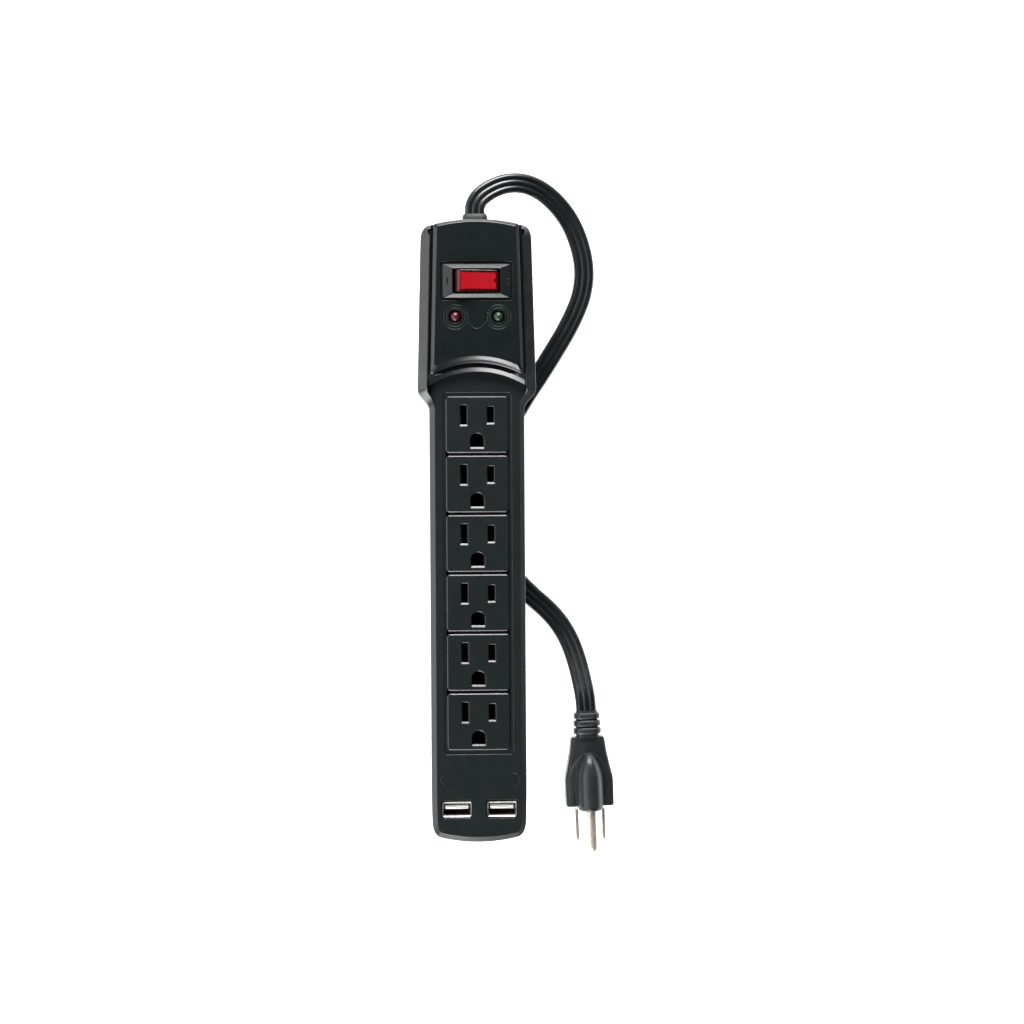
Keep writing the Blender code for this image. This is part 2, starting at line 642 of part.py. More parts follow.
def make_indicator_lamps(red, green):
    dome = [(LAMP_RADIUS * math.cos(a), 0.9 * LAMP_RADIUS * math.sin(a))
            for a in (math.pi / 2 * k / 4 for k in range(4))]
    base = PANEL_Z - 0.7 * mm
    radii = [2.9 * mm, 2.9 * mm] + [r for r, _ in dome] + [0.3 * mm]
    heights = [29.6 * mm, 30.6 * mm] + [base + z for _, z in dome] + [base + 0.9 * LAMP_RADIUS]
    radii.insert(2, LAMP_RADIUS)
    heights.insert(2, 30.6 * mm)
    for name, side, material in (("red_lamp", -1, red), ("green_lamp", 1, green)):
        make(name, [move(round_bar(radii, heights, 16), side * LAMP_X, LAMP_Y)], material, 40)


def make_boards(board, blue, black, plastic):
    make("indicator_board", [block(28 * mm, 9 * mm, 27.7 * mm, 29.2 * mm, 0, LAMP_Y, 1 * mm)], board)
    make("surge_board", [block(40 * mm, 22 * mm, 12.0 * mm, 13.6 * mm, 0, 91 * mm, 1 * mm)], board)
    disc = along_y(round_bar([4.2 * mm, 5.0 * mm, 5.0 * mm, 4.2 * mm], [-2 * mm, -1.4 * mm, 1.4 * mm, 2 * mm], 20))
    for number, x in enumerate((-12 * mm, 0.0, 12 * mm), 1):
        make(f"varistor_{number}", [move(disc, x, 86 * mm, 19.2 * mm)], blue, 40)
    fuse = along_x(round_bar([1.2 * mm, 1.9 * mm, 1.9 * mm, 1.2 * mm], [-5.5 * mm, -5 * mm, 5 * mm, 5.5 * mm], 14))
    make("thermal_fuse", [move(fuse, 0, 95 * mm, 16.2 * mm)], plastic, 40)
    make("usb_board", [block(36 * mm, 15 * mm, 19.6 * mm, 21.2 * mm, 0, PORT_Y + 0.5 * mm, 1 * mm)], board)
    make("usb_transformer", [block(13 * mm, 12 * mm, 11.0 * mm, 19.2 * mm, 0, PORT_Y, 0.8 * mm)], black)
    can = round_bar([2.7 * mm, 3.1 * mm, 3.1 * mm, 2.7 * mm], [10.6 * mm, 11.0 * mm, 18.9 * mm, 19.2 * mm], 16)
    for number, x in enumerate((-12.5 * mm, 12.5 * mm), 1):
        make(f"usb_capacitor_{number}", [move(can, x, PORT_Y)], plastic, 40)


def make_charging_ports(steel, white):
    """Each port is a folded steel shell with a flared lip, with a contact tongue standing inside it."""
    shell_x, shell_y = 13.0 * mm, 5.8 * mm
    sheet = 0.45 * mm
    low = 21.6 * mm
    lip = DECK_Z + 0.1 * mm
    for number, x in enumerate((-PORT_X, PORT_X), 1):
        tube = rounded(shell_x, shell_y, 0.7 * mm, 2)
        wide = rounded(PORT_LIP_X, PORT_LIP_Y, 1.0 * mm, 2)
        shell = make(f"usb_shell_{number}", [move([
            lift(tube, low), lift(tube, lip - 1.2 * mm), lift(wide, lip - 0.45 * mm), lift(wide, lip),
        ], x, PORT_Y)], steel)
        inner = rounded(shell_x - 2 * sheet, shell_y - 2 * sheet, 0.4 * mm, 2)
        mouth = rounded(PORT_LIP_X - 1.0 * mm, PORT_LIP_Y - 1.0 * mm, 0.4 * mm, 2)
        cut(shell, f"port_inside_{number}", [move([
            lift(inner, low + 0.6 * mm), lift(inner, lip - 1.0 * mm), lift(mouth, lip + 0.01 * mm),
            lift(mouth, lip + 1.0 * mm),
        ], x, PORT_Y)])
        make(f"usb_tongue_{number}", [block(11.0 * mm, 1.9 * mm, low + 0.9 * mm, lip - 0.9 * mm,
                                            x, PORT_Y + 1.1 * mm, 0.3 * mm)], white)


# ---------------------------------------------------------------- cord, gland and plug

def make_gland(material):
    """Collar in the end wall: a grooved body inside, a flange on the wall and a short tapered neck."""
    def section(width, height, y):
        outline = rounded(width, height, min(width, height) * 0.3, 3)
        return [Vector((x, y, CORD_Z + z)) for x, z in outline]
    wall_in = END_Y - 2.9 * mm
    gland = make("cord_gland", [[
        section(12.6 * mm, 8.4 * mm, wall_in - 9.0 * mm),
        section(13.4 * mm, 8.8 * mm, wall_in - 0.5 * mm),
        section(10.6 * mm, 6.4 * mm, wall_in - 0.5 * mm + 0.01 * mm),
        section(10.6 * mm, 6.4 * mm, END_Y + 0.4 * mm),
        section(13.4 * mm, 9.0 * mm, END_Y + 0.41 * mm),
        section(13.4 * mm, 9.0 * mm, END_Y + 1.9 * mm),
        section(11.2 * mm, 6.4 * mm, END_Y + 2.3 * mm),
        section(10.6 * mm, 5.6 * mm, GLAND_FACE_Y),
    ]], material, 50)
    return gland


def make_cord_clamp(material, steel):
    bar = make("cord_clamp", [block(20 * mm, 5 * mm, 20.6 * mm, 22.6 * mm, 0, CLAMP_Y, 1.0 * mm)], material)
    hole = round_bar([1.5 * mm] * 2, [19 * mm, 24 * mm], 12)
    cut(bar, "clamp_holes", [move(hole, side * 7.6 * mm, CLAMP_Y) for side in (-1, 1)])
    for number, side in enumerate((-1, 1), 1):
        rings = round_bar([0.4 * mm, 1.1 * mm, 1.1 * mm, 2.3 * mm, 2.3 * mm, 1.8 * mm],
                          [14.2 * mm, 15.0 * mm, 22.9 * mm, 22.9 * mm, 23.6 * mm, 24.0 * mm], 14)
        make(f"clamp_screw_{number}", [move(rings, side * 7.6 * mm, CLAMP_Y)], steel, 40)


def smooth_route(route, spacing):
    """Points at even steps along a smooth curve through the route's points (Catmull-Rom)."""
    points = [Vector(p) * mm for p in route]
    padded = [2 * points[0] - points[1]] + points + [2 * points[-1] - points[-2]]
    dense = []
    for a, b, c, d in zip(padded, padded[1:], padded[2:], padded[3:]):
        for k in range(16):
            t = k / 16
            dense.append(0.5 * ((2 * b) + (c - a) * t + (2 * a - 5 * b + 4 * c - d) * t ** 2
                                + (3 * b - a - 3 * c + d) * t ** 3))
    dense.append(points[-1])
    lengths = [0.0]
    for a, b in zip(dense, dense[1:]):
        lengths.append(lengths[-1] + (b - a).length)
    count = max(2, round(lengths[-1] / spacing))
    result = []
    i = 0
    for k in range(count + 1):
        want = lengths[-1] * k / count
        while i < len(dense) - 2 and lengths[i + 1] < want:
            i += 1
        share = (want - lengths[i]) / (lengths[i + 1] - lengths[i])
        result.append(dense[i].lerp(dense[i + 1], share))
    return result


def square_ends(points, route):
    """Add a short straight lead at either end, so that the end faces are square to the route."""
    ends = [Vector(p) * mm for p in (route[0], route[1], route[-2], route[-1])]
    first = points[0] + (ends[1] - ends[0]).normalized() * END_LEAD
    last = points[-1] + (ends[2] - ends[3]).normalized() * END_LEAD
    return [points[0], first] + points[1:-1] + [last, points[-1]]


def make_cord(name, route, width, thick, spacing, material, resolution=2):
    """Cord as a curve with a bevel; a flat one is spread sideways so that it lies on its flat side."""
    data = bpy.data.curves.new(name, "CURVE")
    data.dimensions = "3D"
    data.twist_mode = "Z_UP"
    data.bevel_depth = thick / 2
    data.extrude = (width - thick) / 2
    data.bevel_resolution = resolution
    data.use_fill_caps = True
    points = square_ends(smooth_route(route, spacing), route)
    spline = data.splines.new("POLY")
    spline.points.add(len(points) - 1)
    for slot, point in zip(spline.points, points):
        slot.co = (*point, 1)
        slot.tilt = math.pi / 2 if width > thick else 0.0
    cord = bpy.data.objects.new(name, data)
    bpy.context.collection.objects.link(cord)
    data.materials.append(material)
    return cord


def plug_matrix():
    """Local +Y runs from the blades' tips back to the cord; the origin is where the cord enters."""
    return Matrix.Translation(PLUG_FACE) @ Matrix.Rotation(math.radians(PLUG_YAW), 4, "Z")


def plug_section(width, low, high, y, radius):
    outline = rounded(width, high - low, radius, 3)
    middle = (high + low) / 2
    return [Vector((x, y, middle + z)) for x, z in outline]


def make_plug(rubber, steel):
    stem = []
    ribs = 3
    stem_pitch = (PLUG_STEM - 1.0 * mm) / ribs
    for k in range(ribs):
        y = -stem_pitch * k
        wide = (12.6 + 0.5 * k) * mm
        high = (8.0 + 0.7 * k) * mm
        for shift, share in ((0.2, 0.86), (1.0, 1.0), (2.2, 1.0)):
            stem.append(plug_section(wide * share, -high / 2 * share, high / 2 * share, y - shift * mm, 2.2 * mm))
    stem.append(plug_section(12.0 * mm, -4.4 * mm, 4.4 * mm, -PLUG_STEM, 2.2 * mm))
    place = plug_matrix()
    make("plug_strain_relief", [turn(stem, place)], rubber, 50)
    stations = (
        (0.0, 15.6, -6.4, 6.4), (1.4, 17.2, -7.6, 7.6), (5.0, 18.8, -9.4, 9.6), (10.0, 20.6, -11.6, 11.2),
        (16.0, 22.4, -13.1, 12.4), (22.0, 23.6, -13.2, 12.9), (28.0, 24.2, -13.2, 13.0), (32.5, 24.2, -13.2, 13.0),
        (33.6, 23.4, -12.6, 12.4), (34.4, 21.4, -11.4, 11.4),
    )
    start = -PLUG_STEM - CLEAR
    rings = [plug_section(w * mm, low * mm, high * mm, start - y * mm, 5.0 * mm) for y, w, low, high in stations]
    make("plug_body", [turn(rings, place)], rubber, 50)
    front = start - PLUG_LENGTH - 0.2 * mm
    blade = (6.4 * mm, 1.5 * mm, 15.2 * mm)
    for name, x in (("plug_live_blade", -BLADE_HALF_GAP), ("plug_neutral_blade", BLADE_HALF_GAP)):
        high, thick, length = blade
        rings = []
        for y, share in ((0.0, 1.0), (length - 1.4 * mm, 1.0), (length, 0.62)):
            half_x, half_z = thick / 2 * share, high / 2 * share
            corners = ((-half_x, -half_z), (half_x, -half_z), (half_x, half_z), (-half_x, half_z))
            rings.append([Vector((x + dx, front - y, -BLADE_DROP + dz)) for dx, dz in corners])
        make(name, [turn(rings, place)], steel)
    pin = along_y(round_bar([2.4 * mm, 2.4 * mm, 2.2 * mm, 1.6 * mm, 0.7 * mm],
                            [0, -16.6 * mm, -18.0 * mm, -19.2 * mm, -19.8 * mm], 20))
    make("plug_ground_pin", [turn(move(pin, 0, front, PIN_RISE), place)], steel, 40)


def make_wires(black, white, green):
    """Leads from the cord to the switch, the surge board and the bars, kept clear of the other pieces."""
    live = ((-3.0, 134.0, 15.0), (-5.0, 130.0, 14.8), (-7.0, 127.0, 14.5), (-7.4, 121.6, 14.5))
    neutral = ((0.0, 134.0, 15.0), (0.0, 129.0, 12.0), (3.6, 122.0, 10.4), (3.8, 112.0, 10.4),
               (3.0, 106.0, 12.0), (2.0, 103.6, 13.0))
    ground = ((3.0, 134.0, 15.0), (7.0, 129.0, 13.0), (15.6, 124.0, 12.6), (17.4, 112.0, 12.6), (22.4, 100.0, 13.0),
              (22.6, 84.0, 13.4), (18.0, 73.0, 14.2), (7.0, 69.0, 15.6), (2.85, 66.6, 16.0))
    for name, route, material in (("live_wire", live, black), ("neutral_wire", neutral, white),
                                  ("ground_wire", ground, green)):
        make_cord(name, route, 2.0 * mm, 2.0 * mm, 4.0 * mm, material, 1)


def build():
    clear_scene()
    black = finish("black_plastic", (0.026, 0.030, 0.030), 0.42)
    inner_black = finish("inner_black_plastic", (0.02, 0.02, 0.022), 0.6)
    rubber = finish("black_rubber", (0.016, 0.017, 0.018), 0.5)
    cord_skin = finish("black_cord", (0.016, 0.018, 0.019), 0.3)
    red = finish("red_translucent", (0.46, 0.012, 0.018), 0.25)
    green = finish("green_lens", (0.02, 0.35, 0.12), 0.2)
    steel = finish("plated_steel", (0.6, 0.6, 0.6), 0.3, 1.0)
    brass = finish("brass", (0.72, 0.52, 0.22), 0.3, 1.0)
    board = finish("green_board", (0.02, 0.18, 0.06), 0.5)
    blue = finish("blue_disc", (0.03, 0.1, 0.4), 0.5)
    white = finish("white_plastic", (0.75, 0.75, 0.73), 0.4)
    glass = finish("lamp_glass", (0.8, 0.5, 0.4), 0.1)
    green_skin = finish("green_wire", (0.02, 0.25, 0.05), 0.4)
    make_upper_housing(black)
    make_rear_cover(black)
    make_cover_screws(steel)
    make_feet(rubber)
    make_outlet_faces(black)
    make_contact_tray(inner_black)
    make_contact_bars(brass)
    make_switch_bezel(black)
    make_switch_body(inner_black)
    make_switch_terminals(brass)
    make_rocker(red, brass, steel)
    make_contact_lever(brass)
    make_neon_lamp(glass)
    make_indicator_lamps(red, green)
    make_boards(board, blue, inner_black, white)
    make_charging_ports(steel, white)
    make_gland(rubber)
    make_cord_clamp(inner_black, steel)
    make_cord("cord", CORD_ROUTE, CORD_WIDTH, CORD_THICK, CORD_STEP, cord_skin)
    make_plug(rubber, steel)
    make_wires(inner_black, white, green_skin)


build()
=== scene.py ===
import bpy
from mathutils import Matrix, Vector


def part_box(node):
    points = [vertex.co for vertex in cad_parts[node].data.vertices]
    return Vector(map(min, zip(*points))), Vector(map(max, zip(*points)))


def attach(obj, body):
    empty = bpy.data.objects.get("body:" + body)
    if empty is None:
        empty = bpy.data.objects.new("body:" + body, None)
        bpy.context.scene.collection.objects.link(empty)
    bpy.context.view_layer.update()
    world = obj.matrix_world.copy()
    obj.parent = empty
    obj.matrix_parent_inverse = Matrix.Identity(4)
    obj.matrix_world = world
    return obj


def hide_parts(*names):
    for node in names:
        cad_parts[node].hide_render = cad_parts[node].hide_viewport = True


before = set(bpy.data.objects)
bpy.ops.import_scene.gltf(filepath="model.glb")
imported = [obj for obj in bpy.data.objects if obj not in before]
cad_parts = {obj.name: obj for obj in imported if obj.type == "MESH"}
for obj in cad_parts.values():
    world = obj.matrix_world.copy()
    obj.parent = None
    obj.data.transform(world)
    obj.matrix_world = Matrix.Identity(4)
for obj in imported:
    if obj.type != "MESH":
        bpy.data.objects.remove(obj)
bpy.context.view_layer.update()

import math

import bpy
import numpy as np
from mathutils import Matrix, Vector

mm = 0.001


# ==== sizes that several pieces share

END_Y = 146.5 * mm            # both ends of the housing
BODY_HALF = 22.4 * mm         # half width of the outlet part
HEAD_HALF_LOW = 27.9 * mm     # half width of the head at its shoulders
HEAD_HALF_TOP = 26.2 * mm     # and at its far corners
SHOULDER_LOW_Y = 57.0 * mm
SHOULDER_TOP_Y = 67.4 * mm
CORNER_Y = 137.0 * mm
FOOT_CORNER_Y = -136.0 * mm
SHELL_Z = 7.8 * mm            # lower rim of the housing
ROOF_Z = 28.4 * mm            # underside of its deck
DECK_Z = 31.0 * mm            # outlet faces
GROOVE_Z = 33.0 * mm
TERRACE_Z = 35.2 * mm         # step round the raised panel
PANEL_Z = 37.5 * mm
PORT_X = 10.6 * mm
PORT_Y = -130.8 * mm
LAMP_X = 10.1 * mm
LAMP_Y = 100.6 * mm
SWITCH_Y = 117.2 * mm
PIVOT_Z = 35.5 * mm
GLAND_Z = 15.0 * mm
BLADE_HALF_GAP = 6.35 * mm    # from the middle to each blade, in the outlets and on the plug
SHARP = 32                    # degrees from which an edge stays sharp


# ==== surfaces worked out with numpy

def grid_faces(rows, count):
    """Quads of a tube of rings: each joins a ring's point and the next one to the ring above."""
    row, column = np.meshgrid(np.arange(rows - 1), np.arange(count), indexing="ij")
    following = (column + 1) % count
    low, high = row * count, (row + 1) * count
    return np.stack([low + column, low + following, high + following, high + column], -1).reshape(-1, 4)


def add_object(name, data):
    """Object in the scene from a mesh, light or camera."""
    added = bpy.data.objects.new(name, data)
    bpy.context.scene.collection.objects.link(added)
    return added


def new_piece(name, points, faces, material, sharp=SHARP):
    """Object from points and faces, with smooth shading between its sharp edges."""
    data = bpy.data.meshes.new(name)
    data.from_pydata(np.asarray(points, float).reshape(-1, 3).tolist(), [], [list(f) for f in faces])
    data.validate()
    data.update()
    piece = add_object(name, data)
    if material:
        data.materials.append(material)
    soften_shading(piece, sharp)
    return piece


def soften_shading(piece, sharp=SHARP):
    """Smooth shading that leaves edges sharp from the given angle on."""
    piece.data.shade_smooth()
    piece.data.set_sharp_from_angle(angle=math.radians(sharp))


def joined_solids(name, stacks, material=None, sharp=SHARP):
    """One mesh from ring stacks that don't touch. A stack is an array (rows, points, 3) of rings, low to
    high and counter-clockwise from above, and a face closes each of its ends."""
    points, faces, start = [], [], 0
    for rings in stacks:
        rows, count = rings.shape[:2]
        points.append(rings.reshape(-1, 3))
        faces += (grid_faces(rows, count) + start).tolist()
        faces.append([start + k for k in range(count)][::-1])
        faces.append([start + (rows - 1) * count + k for k in range(count)])
        start += rows * count
    return new_piece(name, np.concatenate(points), faces, material, sharp)


def ring_solid(name, rings, material=None, sharp=SHARP):
    """Closed solid from one stack of rings."""
    return joined_solids(name, [rings], material, sharp)


def helper(name, *stacks):
    """Solid without a finish, for carve to join or cut."""
    return joined_solids(name, stacks)


def ring_loop(name, rings, material=None, sharp=SHARP):
    """Closed solid of rings that come back to the first one, as a frame or a torus."""
    rows, count = rings.shape[:2]
    faces = grid_faces(rows + 1, count) % (rows * count)
    return new_piece(name, rings, faces.tolist(), material, sharp)


def smooth_step(value, low, high):
    """Cubic ease from 0 at low to 1 at high: t squared times (3 - 2t)."""
    t = np.clip((value - low) / (high - low), 0, 1)
    return t * t * (3 - 2 * t)


def unit(vectors):
    """Rows scaled to length 1."""
    return vectors / np.linalg.norm(vectors, axis=1)[:, None]


def outward(outline):
    """Unit outward normals of a closed counter-clockwise outline, from the mean of its two edges."""
    before = outline - np.roll(outline, 1, axis=0)
    after = np.roll(outline, -1, axis=0) - outline
    mean = unit(unit(before) + unit(after))
    return np.stack([mean[:, 1], -mean[:, 0]], 1)


def quadratic(t, start, control, end):
    """Quadratic curve: start times (1 - t) squared, plus control times 2t (1 - t), plus end times t squared."""
    return (1 - t) ** 2 * start + 2 * t * (1 - t) * control + t ** 2 * end


def eased(profile, radius, steps=4):
    """Round the inner corners of a profile: each becomes a quadratic curve that starts and ends
    at most `radius` from it."""
    profile = np.asarray(profile, float)
    rows = [profile[0]]
    t = np.linspace(0, 1, steps + 1)[:, None]
    for before, here, after in zip(profile, profile[1:], profile[2:]):
        back, ahead = np.linalg.norm(here - before), np.linalg.norm(after - here)
        start = here + (before - here) * min(radius, 0.48 * back) / max(back, 1e-9)
        end = here + (after - here) * min(radius, 0.48 * ahead) / max(ahead, 1e-9)
        rows.extend(quadratic(t, start, here, end))
    rows.append(profile[-1])
    return np.array(rows)


def carried(outline, profile, width=1.0, height=1.0):
    """Profile carried round a closed outline. A profile row is (inset, z) or (inset, z, share of width,
    share of height), and width and height may differ from point to point."""
    profile = np.asarray(profile, float)
    if profile.shape[1] == 2:
        profile = np.hstack([profile, np.zeros_like(profile)])
    normal = outward(outline)
    inset = profile[:, 0, None] + profile[:, 2, None] * np.broadcast_to(width, len(outline))[None, :]
    z = profile[:, 1, None] + profile[:, 3, None] * np.broadcast_to(height, len(outline))[None, :]
    flat = outline[None] - normal[None] * inset[..., None]
    return np.concatenate([flat, z[..., None]], -1)


def rounded(width, depth, radius, steps=6, centre=(0.0, 0.0)):
    """Rectangle with round corners, four quarter circles joined by straight sides."""
    quarter = np.linspace(0, math.pi / 2, steps + 1)
    angle = np.concatenate([quarter + k * math.pi / 2 for k in range(4)])
    sign_x = np.repeat([1, -1, -1, 1], steps + 1)
    sign_y = np.repeat([1, 1, -1, -1], steps + 1)
    x = sign_x * (width / 2 - radius) + radius * np.cos(angle) + centre[0]
    y = sign_y * (depth / 2 - radius) + radius * np.sin(angle) + centre[1]
    return np.stack([x, y], 1)


def full_turn(count):
    """Even angles round one turn, from 0 and without the last."""
    return np.linspace(0, 2 * math.pi, count, endpoint=False)


def circle(radius, count=48, centre=(0.0, 0.0)):
    """Circle: radius times the cosine and the sine of even angles, counter-clockwise."""
    angle = full_turn(count)
    return np.stack([centre[0] + radius * np.cos(angle), centre[1] + radius * np.sin(angle)], 1)


def bezier(start, control, end, steps):
    """Points of a quadratic curve, without its last one."""
    t = np.linspace(0, 1, steps, endpoint=False)[:, None]
    return quadratic(t, *(np.array(p) for p in (start, control, end)))


def mirrored(points):
    """Outline mirrored in x and turned round, so that it stays counter-clockwise."""
    return points[::-1] * (-1, 1)


def stack_outlines(rows):
    """Rings from rows of (outline, z)."""
    return np.stack([np.column_stack([outline, np.full(len(outline), z)]) for outline, z in rows])


def rim_rings(centre, rows):
    """Rings from rows of (width, depth, corner radius, z) about a centre, the first three in millimetres."""
    return stack_outlines([(rounded(w * mm, d * mm, r * mm, 5, centre), z) for w, d, r, z in rows])


def upright_rings(rows, z=0.0):
    """Rings from rows of (outline, y): each outline (x, height) is stood up across the Y direction."""
    return np.stack([np.stack([outline[:, 0], np.full(len(outline), y), outline[:, 1] + z], 1)
                     for outline, y in rows])


def prism(outline, low, high):
    """Two rings of one outline."""
    return stack_outlines([(outline, low), (outline, high)])


def hole(outline, low, face, mouth, depth=None, near_only=False):
    """Cutter for a hole whose mouth slopes outwards by `mouth` from `depth` below the face, and turns
    over to meet the face with a soft edge. With near_only the slope is full on the near side (-Y) and
    shrinks to about a fifth on the others."""
    depth = depth or mouth
    run = eased([(0, low), (0, face - depth), (-mouth * 0.85, face - depth * 0.12),
                 (-mouth * 1.15, face + 0.01 * mm)], 0.18 * mm)
    run = np.vstack([run, run[-1] + np.array([0, 1.0 * mm])])
    if not near_only:
        return carried(outline, run)
    share = 0.22 + 0.78 * smooth_step(-outward(outline)[:, 1], 0.3, 0.95)
    below = np.minimum(run[:, 1] - face, 0)
    rows = np.stack([np.zeros(len(run)), run[:, 1] - below, run[:, 0], below], 1)
    rings = carried(outline, rows, share, share)
    rings[0, :, 2] = low
    return rings


def carve(piece, joins=(), cuts=(), sharp=SHARP):
    """Join helpers to a piece and cut others out of it, then keep the resulting mesh."""
    operands = [(solid, "UNION") for solid in joins] + [(solid, "DIFFERENCE") for solid in cuts]
    for solid, operation in operands:
        change = piece.modifiers.new(solid.name, "BOOLEAN")
        change.object = solid
        change.operation = operation
        change.solver = "EXACT"
    bpy.context.view_layer.update()
    shaped = bpy.data.meshes.new_from_object(piece.evaluated_get(bpy.context.evaluated_depsgraph_get()))
    piece.modifiers.clear()
    old = piece.data
    piece.data = shaped
    shaped.name = piece.name
    bpy.data.meshes.remove(old)
    for solid, _ in operands:
        bpy.data.objects.remove(solid)
    soften_shading(piece, sharp)
    flat_faces(piece)
    return piece


def flat_faces(piece):
    """Let each corner take the direction of its largest face, so that flat faces stay flat."""
    level = piece.modifiers.new("even_normals", "WEIGHTED_NORMAL")
    level.keep_sharp = True
    level.weight = 100
    level.thresh = 0.0


def place(piece, *replaced, slot, body="root"):
    """Let a piece ride on a body and stand for CAD nodes, which it hides. The slot is not used."""
    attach(piece, body)
    if replaced:
        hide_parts(*replaced)


# ==== finishes

def base_finish(name, colour, roughness, metallic=0.0, **inputs):
    """Plain material; further inputs are named with _ for each space."""
    material = bpy.data.materials.new(name)
    material.use_nodes = True
    inputs.update(Base_Color=(*colour, 1), Roughness=roughness, Metallic=metallic)
    for socket, value in inputs.items():
        supply(material, socket.replace("_", " "), value)
    return material


def supply(material, socket, value):
    """Link an input to another node's output, or set it to a value; a name is one of the shader's inputs."""
    if isinstance(socket, str):
        socket = material.node_tree.nodes["Principled BSDF"].inputs[socket]
    if isinstance(value, bpy.types.NodeSocket):
        material.node_tree.links.new(value, socket)
    else:
        socket.default_value = value


def add_node(material, kind, **inputs):
    """Shader node; its inputs are named with _ for each space."""
    node = material.node_tree.nodes.new("ShaderNode" + kind)
    for name, value in inputs.items():
        supply(material, node.inputs[name.replace("_", " ")], value)
    return node


def math_node(material, operation, *terms):
    """Output of a calculation with sockets or numbers."""
    node = add_node(material, "Math")
    node.operation = operation
    for socket, term in zip(node.inputs, terms):
        supply(material, socket, term)
    return node.outputs[0]


def noise(material, scale, detail, stretch=(1, 1, 1)):
    """Noise over Object coordinates; scale is in features per metre."""
    where = add_node(material, "TexCoord").outputs["Object"]
    where = add_node(material, "Mapping", Scale=stretch, Vector=where).outputs[0]
    return add_node(material, "TexNoise", Scale=scale, Detail=detail, Vector=where).outputs["Fac"]


def tint(material, texture, low, high):
    """Colour that runs between two tones with the noise."""
    ramp = add_node(material, "ValToRGB", Fac=texture)
    for stop, position, tone in zip(ramp.color_ramp.elements, (0.3, 0.7), (low, high)):
        stop.position = position
        stop.color = (*tone, 1)
    supply(material, "Base Color", ramp.outputs["Color"])


def vary_roughness(material, texture, low, high):
    """Roughness that runs between two values with the noise."""
    spread = add_node(material, "MapRange", From_Min=0.3, From_Max=0.7, To_Min=low, To_Max=high,
                      Value=texture)
    supply(material, "Roughness", spread.outputs["Result"])


def surface_grain(material, texture, depth):
    """Bumps that follow the noise; depth is in metres."""
    bump = add_node(material, "Bump", Distance=depth, Height=texture)
    supply(material, "Normal", bump.outputs["Normal"])


def moulded(name, dark, light, smooth, rough, grain=2600, depth=0.02 * mm, **sockets):
    """Moulded plastic: fine spark-eroded grain, a slow drift in gloss and a faint drift in tone."""
    material = base_finish(name, dark, rough, **sockets)
    tint(material, noise(material, 70, 4), dark, light)
    vary_roughness(material, noise(material, 160, 5), smooth, rough)
    surface_grain(material, noise(material, grain, 2), depth)
    return material


def metal(name, dark, light, smooth, rough, stretch=(1, 1, 1), metallic=1.0):
    """Plated metal with slight tarnish; stretch draws its fine lines out along one direction."""
    material = base_finish(name, dark, rough, metallic)
    tint(material, noise(material, 400, 4), dark, light)
    vary_roughness(material, noise(material, 1500, 3, stretch), smooth, rough)
    surface_grain(material, noise(material, 3000, 2, stretch), 0.004 * mm)
    return material


def shaded_edges(material, centre, half, soft, dark):
    """Painted shade: a darker tone outside a rectangle about `centre`, given by its half sizes; `soft` is
    half the width of the change."""
    where = add_node(material, "TexCoord").outputs["Object"]
    split = add_node(material, "SeparateXYZ", Vector=where)
    fades = []
    for axis, middle, reach in zip("XY", centre, half):
        away = math_node(material, "SUBTRACT", split.outputs[axis], middle)
        size = math_node(material, "ABSOLUTE", away)
        fade = add_node(material, "MapRange", From_Min=reach - soft, From_Max=reach + soft, To_Min=1.0,
                        To_Max=0.0, Value=size)
        fades.append(fade.outputs["Result"])
    inside = math_node(material, "MULTIPLY", *fades)
    base = material.node_tree.nodes["Principled BSDF"].inputs["Base Color"]
    blend = add_node(material, "Mix")
    blend.data_type = "RGBA"
    outside_tone, inside_tone = [socket for socket in blend.inputs if socket.type == "RGBA"]
    supply(material, outside_tone, (*dark, 1))
    supply(material, blend.inputs[0], inside)
    supply(material, inside_tone, base.links[0].from_socket)
    supply(material, base, [socket for socket in blend.outputs if socket.type == "RGBA"][0])


